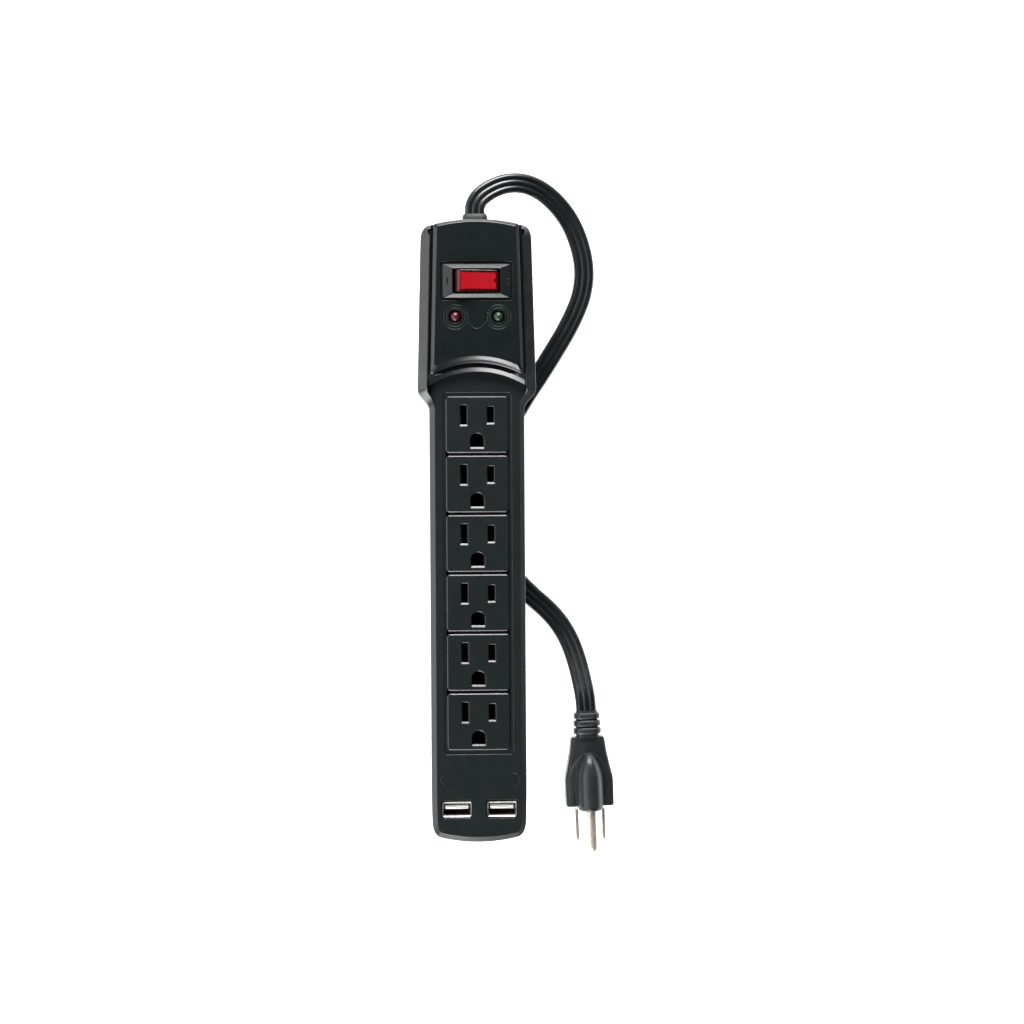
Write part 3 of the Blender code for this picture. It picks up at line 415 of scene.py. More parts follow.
finishes = {
    "housing": moulded("satin_black_housing", (0.0066, 0.0092, 0.0092), (0.0076, 0.0104, 0.0104),
        0.30, 0.34),
    "outlet": moulded("satin_black_outlet", (0.0050, 0.0074, 0.0074), (0.0060, 0.0086, 0.0086), 0.33, 0.37),
    "bezel": moulded("satin_black_bezel", (0.0040, 0.0060, 0.0060), (0.0050, 0.0072, 0.0072),
        0.31, 0.36, 3200),
    "inner": moulded("matt_black_inner", (0.006, 0.006, 0.007), (0.010, 0.010, 0.011), 0.6, 0.75),
    "cover": moulded("matt_black_cover", (0.010, 0.012, 0.012), (0.014, 0.016, 0.016),
        0.5, 0.62, 1900, 0.03 * mm),
    "rubber": moulded("black_rubber", (0.007, 0.009, 0.009), (0.010, 0.012, 0.012),
        0.5, 0.62, 2200, 0.03 * mm),
    "plug": moulded("satin_black_plug", (0.010, 0.0135, 0.0140), (0.014, 0.0175, 0.0180),
        0.36, 0.46, 1700, 0.05 * mm),
    "cord": moulded("glossy_black_cord", (0.004, 0.0065, 0.0065), (0.006, 0.0085, 0.0085),
        0.26, 0.34, 900, 0.012 * mm),
    "red": moulded("clear_red", (0.24, 0.003, 0.007), (0.30, 0.005, 0.010), 0.2, 0.3, 1200, 0.01 * mm,
        Coat_Weight=0.05, Coat_Roughness=0.2),
    "red_lamp": moulded("clear_red_lamp", (0.04, 0.001, 0.005), (0.06, 0.0015, 0.008),
        0.36, 0.46, 900, 0.004 * mm, Coat_Weight=0.04, Coat_Roughness=0.12),
    "green_lamp": moulded("clear_green_lamp", (0.008, 0.026, 0.010), (0.012, 0.038, 0.014),
        0.36, 0.46, 900, 0.004 * mm, Coat_Weight=0.04, Coat_Roughness=0.12),
    "steel": metal("nickel_plated_steel", (0.60, 0.60, 0.58), (0.74, 0.73, 0.70), 0.18, 0.3),
    "shell_steel": metal("port_steel", (0.30, 0.29, 0.27), (0.44, 0.43, 0.40), 0.26, 0.4, (1, 1, 0.1)),
    "nickel": metal("nickel_plated_brass", (0.50, 0.45, 0.39), (0.66, 0.60, 0.53), 0.26, 0.38,
        (1, 0.06, 1), metallic=0.7),
    "brass": metal("bright_brass", (0.66, 0.47, 0.20), (0.78, 0.58, 0.28), 0.22, 0.34),
    "bar": metal("tarnished_brass", (0.06, 0.042, 0.02), (0.10, 0.07, 0.035), 0.4, 0.55),
    "white": moulded("white_tongue", (0.62, 0.62, 0.60), (0.72, 0.72, 0.70), 0.35, 0.45),
    "board": moulded("green_board", (0.01, 0.12, 0.04), (0.02, 0.17, 0.06), 0.3, 0.42),
    "dark_board": moulded("dark_board", (0.008, 0.012, 0.010), (0.013, 0.018, 0.014), 0.35, 0.5),
    "blue": moulded("blue_disc", (0.02, 0.07, 0.3), (0.03, 0.1, 0.38), 0.25, 0.4),
    "green_wire": moulded("green_wire", (0.02, 0.2, 0.04), (0.03, 0.26, 0.06), 0.3, 0.4),
}
# Painted shade: the housing's head, beyond the outlet part, takes a darker tone.
shaded_edges(finishes["housing"], (0.0, -40 * mm), (100 * mm, 116 * mm), 2 * mm, (0.0022, 0.0046, 0.0044))
# Painted shade: the rocker darker towards its ends and long edges.
shaded_edges(finishes["red"], (0.3 * mm, SWITCH_Y), (8.6 * mm, 4.1 * mm), 0.25 * mm, (0.035, 0.001, 0.003))


# ==== camera, light and floor

VIEW_CENTRE = (16.2 * mm, 9.0 * mm)
VIEW_WIDTH = 482.3 * mm       # width of the view at the outlet faces
VIEW_DISTANCE = 1100 * mm
VIEW_LEAN = math.radians(2.5)  # the camera stands a little to the left
VIEW_ROLL = math.radians(0.364)
SENSOR = 36.0
LIT_POINT = (0, 0, 0.02)
LIGHT_BANKS = (               # name, place and size in metres, power in watts
    ("left_bank", (-0.9, -0.05, 0.34), (0.9, 0.36), 4.4),
    ("left_high_bank", (-0.72, 0.15, 0.85), (1.0, 0.5), 4),
    ("far_bank", (0.05, 0.95, 0.5), (0.7, 0.36), 26),
    ("near_bank", (-0.27, -0.96, 0.42), (0.62, 0.34), 19),
)
FLOOR_SIDE = 4.0


def make_camera():
    """Camera high above the outlet faces, with a slight lean and roll."""
    target = Vector((*VIEW_CENTRE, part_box("outlet_face_1")[1].z))
    back = Vector((-math.sin(VIEW_LEAN), 0, math.cos(VIEW_LEAN)))
    up = Vector((math.sin(VIEW_ROLL), math.cos(VIEW_ROLL), 0))
    right = up.cross(back).normalized()
    up = back.cross(right)
    lens = bpy.data.cameras.new("camera")
    lens.sensor_width = SENSOR
    lens.lens = SENSOR * VIEW_DISTANCE / VIEW_WIDTH
    lens.clip_start = 0.05
    lens.clip_end = 20
    camera = add_object("camera", lens)
    turn = Matrix((right, up, back)).transposed().to_4x4()
    camera.matrix_world = Matrix.Translation(target + back * VIEW_DISTANCE) @ turn
    bpy.context.scene.camera = camera


def make_stage():
    """Dim world, four banks of light, and a white floor that glows so that it renders pure white."""
    world = bpy.data.worlds.new("studio")
    bpy.context.scene.world = world
    world.use_nodes = True
    background = world.node_tree.nodes["Background"]
    background.inputs["Color"].default_value = (0.93, 0.96, 0.97, 1)
    background.inputs["Strength"].default_value = 0.05
    for name, place_at, size, power in LIGHT_BANKS:
        bank = bpy.data.lights.new(name, "AREA")
        bank.shape = "RECTANGLE"
        bank.size, bank.size_y = size
        bank.energy = power
        light = add_object(name, bank)
        light.location = place_at
        light.rotation_euler = (Vector(LIT_POINT) - Vector(place_at)).to_track_quat("-Z", "Y").to_euler()
    corners = [(x * FLOOR_SIDE, y * FLOOR_SIDE, 0) for x, y in ((-1, -1), (1, -1), (1, 1), (-1, 1))]
    floor = bpy.data.meshes.new("floor")
    floor.from_pydata(corners, [], [(0, 1, 2, 3)])
    floor_piece = add_object("floor", floor)
    floor_piece.location.z = -0.05 * mm
    paper = base_finish("white_paper", (0.9, 0.9, 0.9), 0.8, Emission_Color=(1, 1, 1, 1),
                        Emission_Strength=1.0)
    tint(paper, noise(paper, 3, 2), (0.90, 0.90, 0.90), (0.92, 0.92, 0.92))
    floor.materials.append(paper)
    bpy.context.scene.view_settings.view_transform = "Standard"


# ==== cord

CORD_ROUTE = np.array((
    (0.0, 151.1, 15.0), (0.1, 155.0, 15.0), (2.3, 159.2, 14.4), (7.4, 163.2, 13.2), (13.6, 166.0, 11.6),
    (20.1, 167.0, 9.8), (26.4, 166.2, 8.0), (32.4, 163.6, 6.3), (38.0, 159.4, 4.8), (43.0, 154.0, 3.6),
    (47.2, 147.4, 2.8), (50.4, 139.6, 2.5), (52.5, 131.0, 2.5), (53.0, 122.5, 2.5), (51.6, 113.6, 2.5),
    (48.3, 104.8, 2.5), (43.6, 95.6, 2.5), (38.2, 86.6, 2.5), (31.3, 75.7, 2.5), (23.6, 64.1, 2.5),
    (17.0, 52.5, 2.5), (11.8, 40.0, 2.5), (8.2, 27.0, 2.5), (6.6, 13.5, 2.5), (7.6, 0.0, 2.5),
    (11.8, -12.6, 2.5), (18.5, -23.0, 2.5), (26.5, -31.2, 2.5), (33.6, -37.6, 2.6), (39.6, -44.4, 3.1),
    (44.5, -52.8, 4.2), (47.9, -62.4, 6.4), (50.1, -71.9, 9.8), (51.4, -79.5, 12.7), (51.97, -86.4, 13.5),
)) * mm
CORE_RADIUS = 2.0 * mm
CORE_PITCH = 2.8 * mm
GROOVE_HALF = 1.52 * mm       # half the cord's thickness between two cores


def smooth_path(route, spacing):
    """Catmull-Rom curve through the route's points, read again at even steps along its length."""
    padded = np.vstack([2 * route[0] - route[1], route, 2 * route[-1] - route[-2]])
    a, b, c, d = padded[:-3], padded[1:-2], padded[2:-1], padded[3:]
    t = np.linspace(0, 1, 24, endpoint=False)[None, :, None]
    a, b, c, d = (p[:, None, :] for p in (a, b, c, d))
    curve = 0.5 * (2 * b + (c - a) * t + (2 * a - 5 * b + 4 * c - d) * t ** 2
                   + (3 * b - a - 3 * c + d) * t ** 3)
    curve = np.vstack([curve.reshape(-1, 3), route[-1]])
    reach = np.concatenate([[0], np.cumsum(np.linalg.norm(np.diff(curve, axis=0), axis=1))])
    steps = np.linspace(0, reach[-1], max(3, round(reach[-1] / spacing) + 1))
    return np.stack([np.interp(steps, reach, curve[:, k]) for k in range(3)], 1), reach[-1]


def swept(path, section):
    """Section (points, 2) carried along a path: its first axis stays level, its second points up."""
    tangent = unit(np.gradient(path, axis=0))
    side = unit(np.cross(tangent, (0, 0, 1.0)))
    top = np.cross(side, tangent)
    return path[:, None] + side[:, None] * section[None, :, :1] + top[:, None] * section[None, :, 1:]


def three_core_section(count=60):
    """Three round cores side by side under one skin: at each width the half thickness is that of the
    nearest core's circle, and between the outer cores never less than the groove's."""
    angle = full_turn(count)
    x = (CORE_PITCH + CORE_RADIUS) * np.cos(angle)
    nearest = x - CORE_PITCH * np.clip(np.round(x / CORE_PITCH), -1, 1)
    half = np.sqrt(np.maximum(CORE_RADIUS ** 2 - nearest ** 2, 0))
    half = np.where(np.abs(x) < CORE_PITCH, np.maximum(half, GROOVE_HALF), half)
    return np.stack([x, half * np.sign(np.sin(angle))], 1)


def make_cord():
    """Flat cord from the gland to the plug."""
    path, length = smooth_path(CORD_ROUTE, 1.6 * mm)
    cord = ring_solid("lead", swept(path, three_core_section())[:, ::-1], finishes["cord"], 60)
    place(cord, "cord", slot="black_cord")


# ==== housing

WING = 4.3 * mm              # width of the head's side slopes
BODY_SLOPE = 2.5 * mm        # width of the outlet part's slopes
RIDGE = 0.3 * mm             # flat strip along the top of both slopes
PANEL_SIDE = 6.1 * mm        # from the silhouette to the foot of the raised panel
PANEL_LIP = 1.6 * mm         # width of the slope round the panel
PANEL_ARC_Y = 79.0 * mm      # highest point of the arc at the panel's foot
ARC_RADIUS = 43.0 * mm
LINE_RADIUS = 0.75 * mm      # tube that engraves the rings and the wave
LINE_Z = PANEL_Z + 0.55 * mm
LINE_SIDES = 16


def bowed(half, end_y, bow, steps):
    """Parabola from x = half to x = -half, which falls back by `bow` at both ends."""
    x = np.linspace(half, -half, steps + 1)
    return np.stack([x, end_y - bow * (x / half) ** 2], 1)


def head_half(y):
    """Half width of the head, which narrows evenly from its shoulders to its far corners."""
    return np.interp(y, (SHOULDER_TOP_Y, CORNER_Y), (HEAD_HALF_LOW, HEAD_HALF_TOP))


def silhouette():
    """Whole outline seen from above, counter-clockwise: bowed ends, round corners, and an S-curve
    (two parabolas) between the two widths."""
    low_half = BODY_HALF - 5.0 * mm
    near = -bowed(low_half, END_Y, 2.0 * mm, 22)
    foot = (BODY_HALF - 0.2 * mm, FOOT_CORNER_Y)
    low_end = -END_Y + 2.0 * mm
    corner = bezier((low_half, low_end), (BODY_HALF - 0.4 * mm, low_end + 0.6 * mm), foot, 12)[1:]
    t = np.linspace(0, 1, 25)
    ease = np.where(t < 0.5, 2 * t * t, 1 - 2 * (1 - t) ** 2)
    shoulder = np.stack([BODY_HALF + (HEAD_HALF_LOW - BODY_HALF) * ease,
                         SHOULDER_LOW_Y + (SHOULDER_TOP_Y - SHOULDER_LOW_Y) * t], 1)
    straight_y = np.linspace(FOOT_CORNER_Y + 14 * mm, SHOULDER_LOW_Y - 4 * mm, 12)
    straight = np.stack([np.full(12, BODY_HALF), straight_y], 1)
    side_y = np.linspace(SHOULDER_TOP_Y + 5 * mm, CORNER_Y - 5 * mm, 6)
    side = np.stack([head_half(side_y), side_y], 1)
    end = END_Y - 0.9 * mm
    corner_half = head_half(CORNER_Y)
    tip = corner_half - 4.4 * mm
    far_corner = bezier((corner_half, CORNER_Y), (corner_half - 0.2 * mm, end - 2.6 * mm),
                        (tip, end - 1.7 * mm), 14)
    right = np.vstack([corner, [foot], straight, shoulder, side, far_corner])
    return np.vstack([near, right, bowed(tip, end, 1.7 * mm, 20), mirrored(right)])


def panel_outline(side, end, arc_y):
    """The raised panel's outline: straight sides, a bowed far end with small round corners, and a
    lower edge that is an arc with its highest point at arc_y."""
    reach = 1.4 * mm
    corner_y = END_Y - end - 3.4 * mm
    half_top = head_half(corner_y) - side
    tip = half_top - reach
    far_corner = bezier((half_top, corner_y), (half_top - 0.1 * mm, corner_y + 1.1 * mm),
                        (tip, corner_y + 1.35 * mm), 8)
    far = bowed(tip, END_Y - end, 2.05 * mm, 20)
    half_low = HEAD_HALF_LOW - side
    x = np.linspace(-half_low, half_low, 41)
    arc = np.stack([x, arc_y - ARC_RADIUS + np.sqrt(ARC_RADIUS ** 2 - x ** 2)], 1)
    corner_cut = 1.1 * mm
    arc[:, 1] += np.maximum(np.abs(x) - half_low + corner_cut, 0) * 0.9
    return np.vstack([arc, far_corner, far, mirrored(far_corner)])


def soft_rings(rows, radius):
    """Rings at the corners of a profile, with each inner corner turned into a quadratic curve. A row is
    (outline, z); the rings in between are blends of two outlines."""
    rings = stack_outlines(rows)
    out = [rings[0]]
    t = np.linspace(0, 1, 5)[:, None, None]
    for before, here, after in zip(rings, rings[1:], rings[2:]):
        back = np.linalg.norm(here - before, axis=1)[:, None]
        ahead = np.linalg.norm(after - here, axis=1)[:, None]
        start = here + (before - here) * np.minimum(radius / np.maximum(back, 1e-9), 0.48)
        end = here + (after - here) * np.minimum(radius / np.maximum(ahead, 1e-9), 0.48)
        out.extend(quadratic(t, start, here, end))
    out.append(rings[-1])
    return np.array(out)


def housing_base():
    """Profile carried round the silhouette. The slope's width and height grow from the outlet part to
    the head, and its width shrinks again along the far end. Both of its edges are rounded."""
    outline = silhouette()
    y = outline[:, 1]
    head = smooth_step(y, SHOULDER_LOW_Y + 1 * mm, SHOULDER_TOP_Y - 1 * mm)
    end = smooth_step(y, CORNER_Y + 1.5 * mm, CORNER_Y + 7.0 * mm)
    width = BODY_SLOPE + (WING - BODY_SLOPE) * head - 2.6 * mm * end
    top = DECK_Z + (TERRACE_Z - DECK_Z) * head
    edge = top - (2.1 * mm + 1.2 * mm * head - 1.4 * mm * end)
    soft = 0.35 * mm
    share = soft / np.hypot(width, top - edge)
    inner = width * (1 - share)
    rows = [(0.0, SHELL_Z), (0.0, edge - soft)]
    for k in (0.25, 0.5, 0.75):
        rows.append((k * k * soft * 0.75, edge - soft + 2 * k * (1 - k) * soft + k * k * soft * 1.7))
    rows += [(share * width, edge + share * (top - edge)), (inner, top - share * (top - edge))]
    for k in (0.33, 0.66):
        rows.append((inner + k * share * width * (2 - k), top - share * (top - edge) * (1 - k) ** 2))
    rows += [(width + soft * 0.4, top), (width + RIDGE, top), (width + RIDGE + 0.1 * mm, DECK_Z)]
    normal = outward(outline)
    count = len(outline)
    return np.array([np.column_stack([outline - normal * np.broadcast_to(inset, count)[:, None],
                                      np.broadcast_to(z, count)]) for inset, z in rows])


def groove_ring(path, radius, z, sides=LINE_SIDES):
    """Rings of a thin tube round a closed flat path, for an engraved line."""
    normal = outward(path)
    angle = np.linspace(2 * math.pi, 0, sides, endpoint=False)
    return stack_outlines([(path - normal * radius * math.cos(a), z + radius * math.sin(a)) for a in angle])


def head_solids():
    """The terrace, and the raised panel that stands in it. The terrace ends just under the slopes' upper
    edge, so that the two never share a plane."""
    top = TERRACE_Z - 0.02 * mm
    side = WING + 0.16 * mm
    terrace = soft_rings([
        (panel_outline(side, 2.77 * mm, 74.9 * mm), 29.0 * mm),
        (panel_outline(side, 2.77 * mm, 74.9 * mm), top - 1.7 * mm),
        (panel_outline(side, 2.77 * mm, 77.2 * mm), top),
        (panel_outline(WING + 2.2 * mm, 5 * mm, 82 * mm), top),
    ], 0.3 * mm)
    side, lip = PANEL_SIDE, PANEL_SIDE + PANEL_LIP
    panel = soft_rings([
        (panel_outline(side, 0.0, PANEL_ARC_Y), SHELL_Z + 0.5 * mm),
        (panel_outline(side, 0.0, PANEL_ARC_Y), TERRACE_Z),
        (panel_outline(side, 0.0, 79.2 * mm), TERRACE_Z + 0.3 * mm),
        (panel_outline(side + 0.1 * mm, 0.1 * mm, 80.6 * mm), PANEL_Z - 1.3 * mm),
        (panel_outline(lip, 1.35 * mm, 82.2 * mm), PANEL_Z),
        (panel_outline(lip + 2 * mm, 3.6 * mm, 85 * mm), PANEL_Z),
    ], 0.32 * mm)
    return [helper("terrace", terrace), helper("panel", panel)]


def groove_cutter():
    """The groove round the panel: a wider outline, less the panel and a block below the arc."""
    wide = prism(panel_outline(WING + 0.7 * mm, -4.0 * mm, 76.9 * mm), GROOVE_Z, PANEL_Z + 3 * mm)
    core = prism(panel_outline(PANEL_SIDE, 0.0, PANEL_ARC_Y), GROOVE_Z - 2 * mm, PANEL_Z + 4 * mm)
    near = np.array([(-40, 60), (40, 60), (40, 74.0), (-40, 74.0)]) * mm
    near = prism(near, GROOVE_Z - 3 * mm, PANEL_Z + 5 * mm)
    groove = helper("groove", wide)
    return carve(groove, cuts=[helper("groove_core", core), helper("terrace_keep", near)])


def line_cutters():
    """Tubes for the engraved lines: the outline above the ports, two rings round each lamp and the wave."""
    pill = rounded(36.8 * mm, 5.4 * mm, 2.65 * mm, 12, (0, -116.9 * mm))
    cutters = [ring_loop("pill", groove_ring(pill, 0.95 * mm, DECK_Z + 0.7 * mm))]
    for x in (-LAMP_X, LAMP_X):
        for radius in (4.4 * mm, 5.7 * mm):
            rings = groove_ring(circle(radius, 64, (x, LAMP_Y)), LINE_RADIUS, LINE_Z)
            cutters.append(ring_loop("lamp_ring", rings))
    angle = np.linspace(2 * math.pi, 0, LINE_SIDES, endpoint=False)
    section = np.stack([LINE_RADIUS * np.cos(angle), LINE_RADIUS * np.sin(angle)], 1)
    wave = lamp_wave()
    wave = np.column_stack([wave, np.full(len(wave), LINE_Z)])
    cutters.append(helper("lamp_wave", swept(wave, section)))
    return cutters


def make_housing():
    """Shell with the head's levels joined on and its hollows, openings and lines cut out."""
    shell = ring_solid("housing", housing_base(), finishes["housing"])
    inner = np.array([(18.6, -143.4), (20.1, -141.7), (20.1, 58.3), (25.1, 68.9), (23.9, 137.7),
                      (20.7, 142.9)]) * mm
    inner = np.vstack([inner, mirrored(inner)])
    head_room = rounded(36.4 * mm, 52.3 * mm, 2.0 * mm, 3, (0, 114.6 * mm))
    well = rounded(30.1 * mm, 167.1 * mm, 1.6 * mm, 8, (0, -19.7 * mm))
    ledge = rounded(32.2 * mm, 170.1 * mm, 1.6 * mm, 8, (0, -19.85 * mm))
    recess = rounded(33.4 * mm, 17.8 * mm, 0.9 * mm, 6, (0, SWITCH_Y))
    opening = rounded(29.0 * mm, 14.6 * mm, 0.6 * mm, 4, (0, SWITCH_Y))
    ports = [rounded(14.8 * mm, 8.1 * mm, 1.2 * mm, 6, (x, PORT_Y)) for x in (-PORT_X, PORT_X)]
    seats = [circle(2.9 * mm, 40, (x, LAMP_Y)) for x in (-LAMP_X, LAMP_X)]
    gland = rounded(11.4 * mm, 7.2 * mm, 2.0 * mm, 6)
    gland_hole = upright_rings([(gland, END_Y + 4 * mm), (gland, END_Y - 9 * mm)], GLAND_Z)
    cuts = [
        groove_cutter(),
        helper("hollow", prism(inner, SHELL_Z - 1 * mm, ROOF_Z)),
        helper("head_room", prism(head_room, ROOF_Z - 1 * mm, PANEL_Z - 3 * mm)),
        helper("well", prism(well, ROOF_Z - 1 * mm, DECK_Z + 1 * mm)),
        helper("ledge", hole(ledge, DECK_Z - 0.45 * mm, DECK_Z, 0.22 * mm)),
        helper("recess", hole(recess, PANEL_Z - 0.8 * mm, PANEL_Z, 0.25 * mm)),
        helper("opening", prism(opening, PANEL_Z - 4 * mm, PANEL_Z + 1 * mm)),
        helper("ports", *[hole(port, ROOF_Z - 1 * mm, DECK_Z, 0.3 * mm) for port in ports]),
        helper("lamp_seats", *[hole(seat, PANEL_Z - 4 * mm, PANEL_Z, 0.35 * mm) for seat in seats]),
        *line_cutters(),
        helper("gland_hole", gland_hole),
    ]
    carve(shell, joins=head_solids(), cuts=cuts)
    place(shell, "upper_housing", slot="black_plastic")


def lamp_wave():
    """The wave that dips between the two lamp rings: four quadratic curves, mirrored about the middle."""
    half = np.vstack([bezier((5.1, 102.6), (4.9, 98.6), (2.6, 96.7), 8),
                      bezier((2.6, 96.7), (1.3, 95.4), (0.0, 95.3), 8), [(0.0, 95.3)]])
    return np.vstack([half, mirrored(half)[1:]]) * mm


# ==== outlets

OUTLET_Y = [50.3 * mm - 28.0 * mm * k for k in range(6)]
SLOT_RISE = 4.4 * mm         # from the middle of a face up to its slots
GROUND_DROP = 11.9 * mm      # from the slots down to the ground hole
SLOT_WIDTH = 3.3 * mm        # these sizes are taken at the foot of the sloped mouth
NEUTRAL_SLOT = 9.1 * mm
LIVE_SLOT = 7.5 * mm
MOUTH = 1.1 * mm             # width and depth of the sloped mouth
MOUTH_DEPTH = 0.66 * mm


def ground_outline(width, height, steps=20):
    """Arched hole: a half circle towards the slots, a flat edge with small round corners opposite."""
    half, low = width / 2, -height / 2
    angle = np.linspace(0, math.pi, steps + 1)
    arch = np.stack([half * np.cos(angle), height / 2 - half + half * np.sin(angle)], 1)
    soft = 0.5 * mm
    left = bezier((-half, low + soft), (-half, low), (-half + soft, low), 4)
    right = bezier((half - soft, low), (half, low), (half, low + soft), 4)
    return np.vstack([arch, left, [(-half + soft, low)], right, [(half, low + soft)]])


def make_outlets():
    """Six tiles from one: soft rim, slots and ground hole with sloped mouths; each copy is shifted."""
    outline = rounded(29.8 * mm, 26.8 * mm, 1.7 * mm, 8)
    profile = eased([(0, ROOF_Z), (0, DECK_Z - 0.4 * mm), (0.55 * mm, DECK_Z), (0.95 * mm, DECK_Z)], 0.2 * mm)
    tile = ring_solid("outlet_tile", carried(outline, profile), finishes["outlet"])
    slot_y = SLOT_RISE + 0.3 * mm
    openings = {
        "neutral_slot": rounded(SLOT_WIDTH, NEUTRAL_SLOT, 0.3 * mm, 3, (-BLADE_HALF_GAP, slot_y)),
        "live_slot": rounded(SLOT_WIDTH, LIVE_SLOT, 0.3 * mm, 3, (BLADE_HALF_GAP, slot_y)),
        "ground_hole": ground_outline(6.6 * mm, 6.4 * mm) + (0, SLOT_RISE - GROUND_DROP + 0.2 * mm),
    }
    carve(tile, cuts=[helper(name, hole(edge, ROOF_Z - 1 * mm, DECK_Z, MOUTH, MOUTH_DEPTH, near_only=True))
                      for name, edge in openings.items()])
    for number, y in enumerate(OUTLET_Y, 1):
        copy = tile.data.copy()
        copy.transform(Matrix.Translation((0, y, 0)))
        face = add_object(f"outlet_{number}", copy)
        flat_faces(face)
        place(face, f"outlet_face_{number}", slot="black_plastic")
    bpy.data.objects.remove(tile)


def make_tray_sheet():
    """Thin insulating sheet under the contact tray: flat, with an outer tenth that slopes up in a straight
    line along both long edges."""
    outline = rounded(29.2 * mm, 168.2 * mm, 1.2 * mm, 6, (0, -19.9 * mm))
    grid = carried(outline, [(0.12 * mm, 13.2 * mm), (0, 13.3 * mm), (0, 13.7 * mm), (0.12 * mm, 13.8 * mm)])
    grid[..., 2] += 0.15 * mm * np.maximum(np.abs(grid[..., 0]) / (14.6 * mm) - 0.9, 0) * 10
    sheet = ring_solid("tray_sheet", grid, finishes["inner"])
    place(sheet, slot="black_plastic")


# ==== switch and lamps

ROCKER_TOP = 4.5 * mm        # from the pivot to the rocker's flat top


def make_bezel():
    """Frame that slopes up to the window, with a bar and a ring sunk into it and a bore for the pins."""
    foot, low, top = PIVOT_Z - 1.9 * mm, PANEL_Z - 0.6 * mm, PANEL_Z + 1.5 * mm
    rings = rim_rings((0, SWITCH_Y), (
        (28.4, 14.0, 0.4, foot), (28.4, 14.0, 0.4, low), (31.9, 16.1, 0.5, low + 0.02 * mm),
        (31.9, 16.1, 0.5, low + 0.78 * mm), (31.2, 15.5, 0.4, low + 0.85 * mm),
        (23.5, 12.4, 0.5, top - 0.06 * mm), (23.2, 12.1, 0.5, top), (22.6, 11.5, 0.6, top),
        (22.2, 11.1, 0.7, top - 0.3 * mm), (22.0, 10.9, 0.5, foot)))
    bezel = ring_loop("bezel", rings, finishes["bezel"], 12)
    mark_x = 13.8 * mm
    bar = rounded(0.55 * mm, 3.4 * mm, 0.26 * mm, 4, (-mark_x, SWITCH_Y))
    ring = groove_ring(circle(1.5 * mm, 32, (mark_x, SWITCH_Y)), 0.27 * mm, PANEL_Z + 0.62 * mm, 8)
    bore = circle(1.35 * mm, 24)
    bore = upright_rings([(bore, SWITCH_Y + 9 * mm), (bore, SWITCH_Y - 9 * mm)], PIVOT_Z)
    carve(bezel, sharp=12, cuts=[helper("mark_on", prism(bar, PANEL_Z - 0.05 * mm, top + 1 * mm)),
                                 ring_loop("mark_off", ring), helper("pivot_bore", bore)])
    place(bezel, "switch_bezel", slot="black_plastic")


def rocker_section(shrink=0.0):
    """End view of the rocker about its pivot: flat top with soft shoulders, round ends, flat underside."""
    radius, rise, low = 10.45 * mm - shrink, ROCKER_TOP - shrink, 3.3 * mm - shrink
    start, stop = math.asin(rise / radius) - 0.06, -math.asin(low / radius)
    edge = radius * math.cos(math.asin(rise / radius))
    shoulder = bezier((edge - 0.7 * mm, rise), (edge, rise),
                      (radius * math.cos(start), radius * math.sin(start)), 5)
    angle = np.linspace(start, stop, 14)
    right = np.vstack([shoulder, np.stack([radius * np.cos(angle), radius * np.sin(angle)], 1)])
    return np.vstack([right, mirrored(right)])


def tilted(points):
    """Points turned by ten degrees about Y, which is the rocker's place at rest, and moved to its pivot."""
    turn = math.radians(10.0)
    x, y, z = points[..., 0], points[..., 1], points[..., 2]
    return np.stack([x * math.cos(turn) + z * math.sin(turn), y + SWITCH_Y,
                     -x * math.sin(turn) + z * math.cos(turn) + PIVOT_Z], -1)


def slot_in_top(width, depth, below, x, y):
    """Cutter for a slot in the rocker's flat top, sunk by `below`."""
    return tilted(prism(rounded(width, depth, 0.12 * mm, 3, (x, y)), ROCKER_TOP - below, ROCKER_TOP + 1 * mm))


def make_rocker():
    """Clear red rocker: its end view carried along the pivot and shrunk a little at both ends, with a face
    set in a rim, and notches along both long edges and at its low end."""
    half = 5.15 * mm
    sections = [(-half, 0.35), (-half + 0.12 * mm, 0.1), (-half + 0.4 * mm, 0.0), (half - 0.4 * mm, 0.0),
                (half - 0.12 * mm, 0.1), (half, 0.35)]
    rings = upright_rings([(rocker_section(shrink * mm), y) for y, shrink in sections])
    rocker = ring_solid("rocker_lens", tilted(rings), finishes["red"])
    face_lines = [slot_in_top(17.2 * mm, 0.5 * mm, 1.1 * mm, 0.7 * mm, side * 4.45 * mm) for side in (-1, 1)]
    face_lines.append(slot_in_top(0.3 * mm, 8.0 * mm, 0.6 * mm, -8.3 * mm, 0))
    notches = [slot_in_top(1.15 * mm, 0.55 * mm, 1.2 * mm, -5.6 * mm + 1.9 * mm * k, side * 3.98 * mm)
               for k in range(8) for side in (-1, 1)]
    notches.append(slot_in_top(1.0 * mm, 1.5 * mm, 1.3 * mm, 8.0 * mm, 0.2 * mm))
    plunger_hole = tilted(prism(circle(2.1 * mm, 32), -5 * mm, 1.5 * mm))
    pin, pin_end = circle(1.15 * mm, 24), half + 1.4 * mm
    pins = tilted(upright_rings([(pin, pin_end), (pin, -pin_end)]))
    carve(rocker, joins=[helper("pins", pins)],
          cuts=[helper("face_lines", *face_lines), helper("notches", *notches),
                helper("plunger_hole", plunger_hole)])
    place(rocker, "rocker", slot="red_translucent", body="rocker")


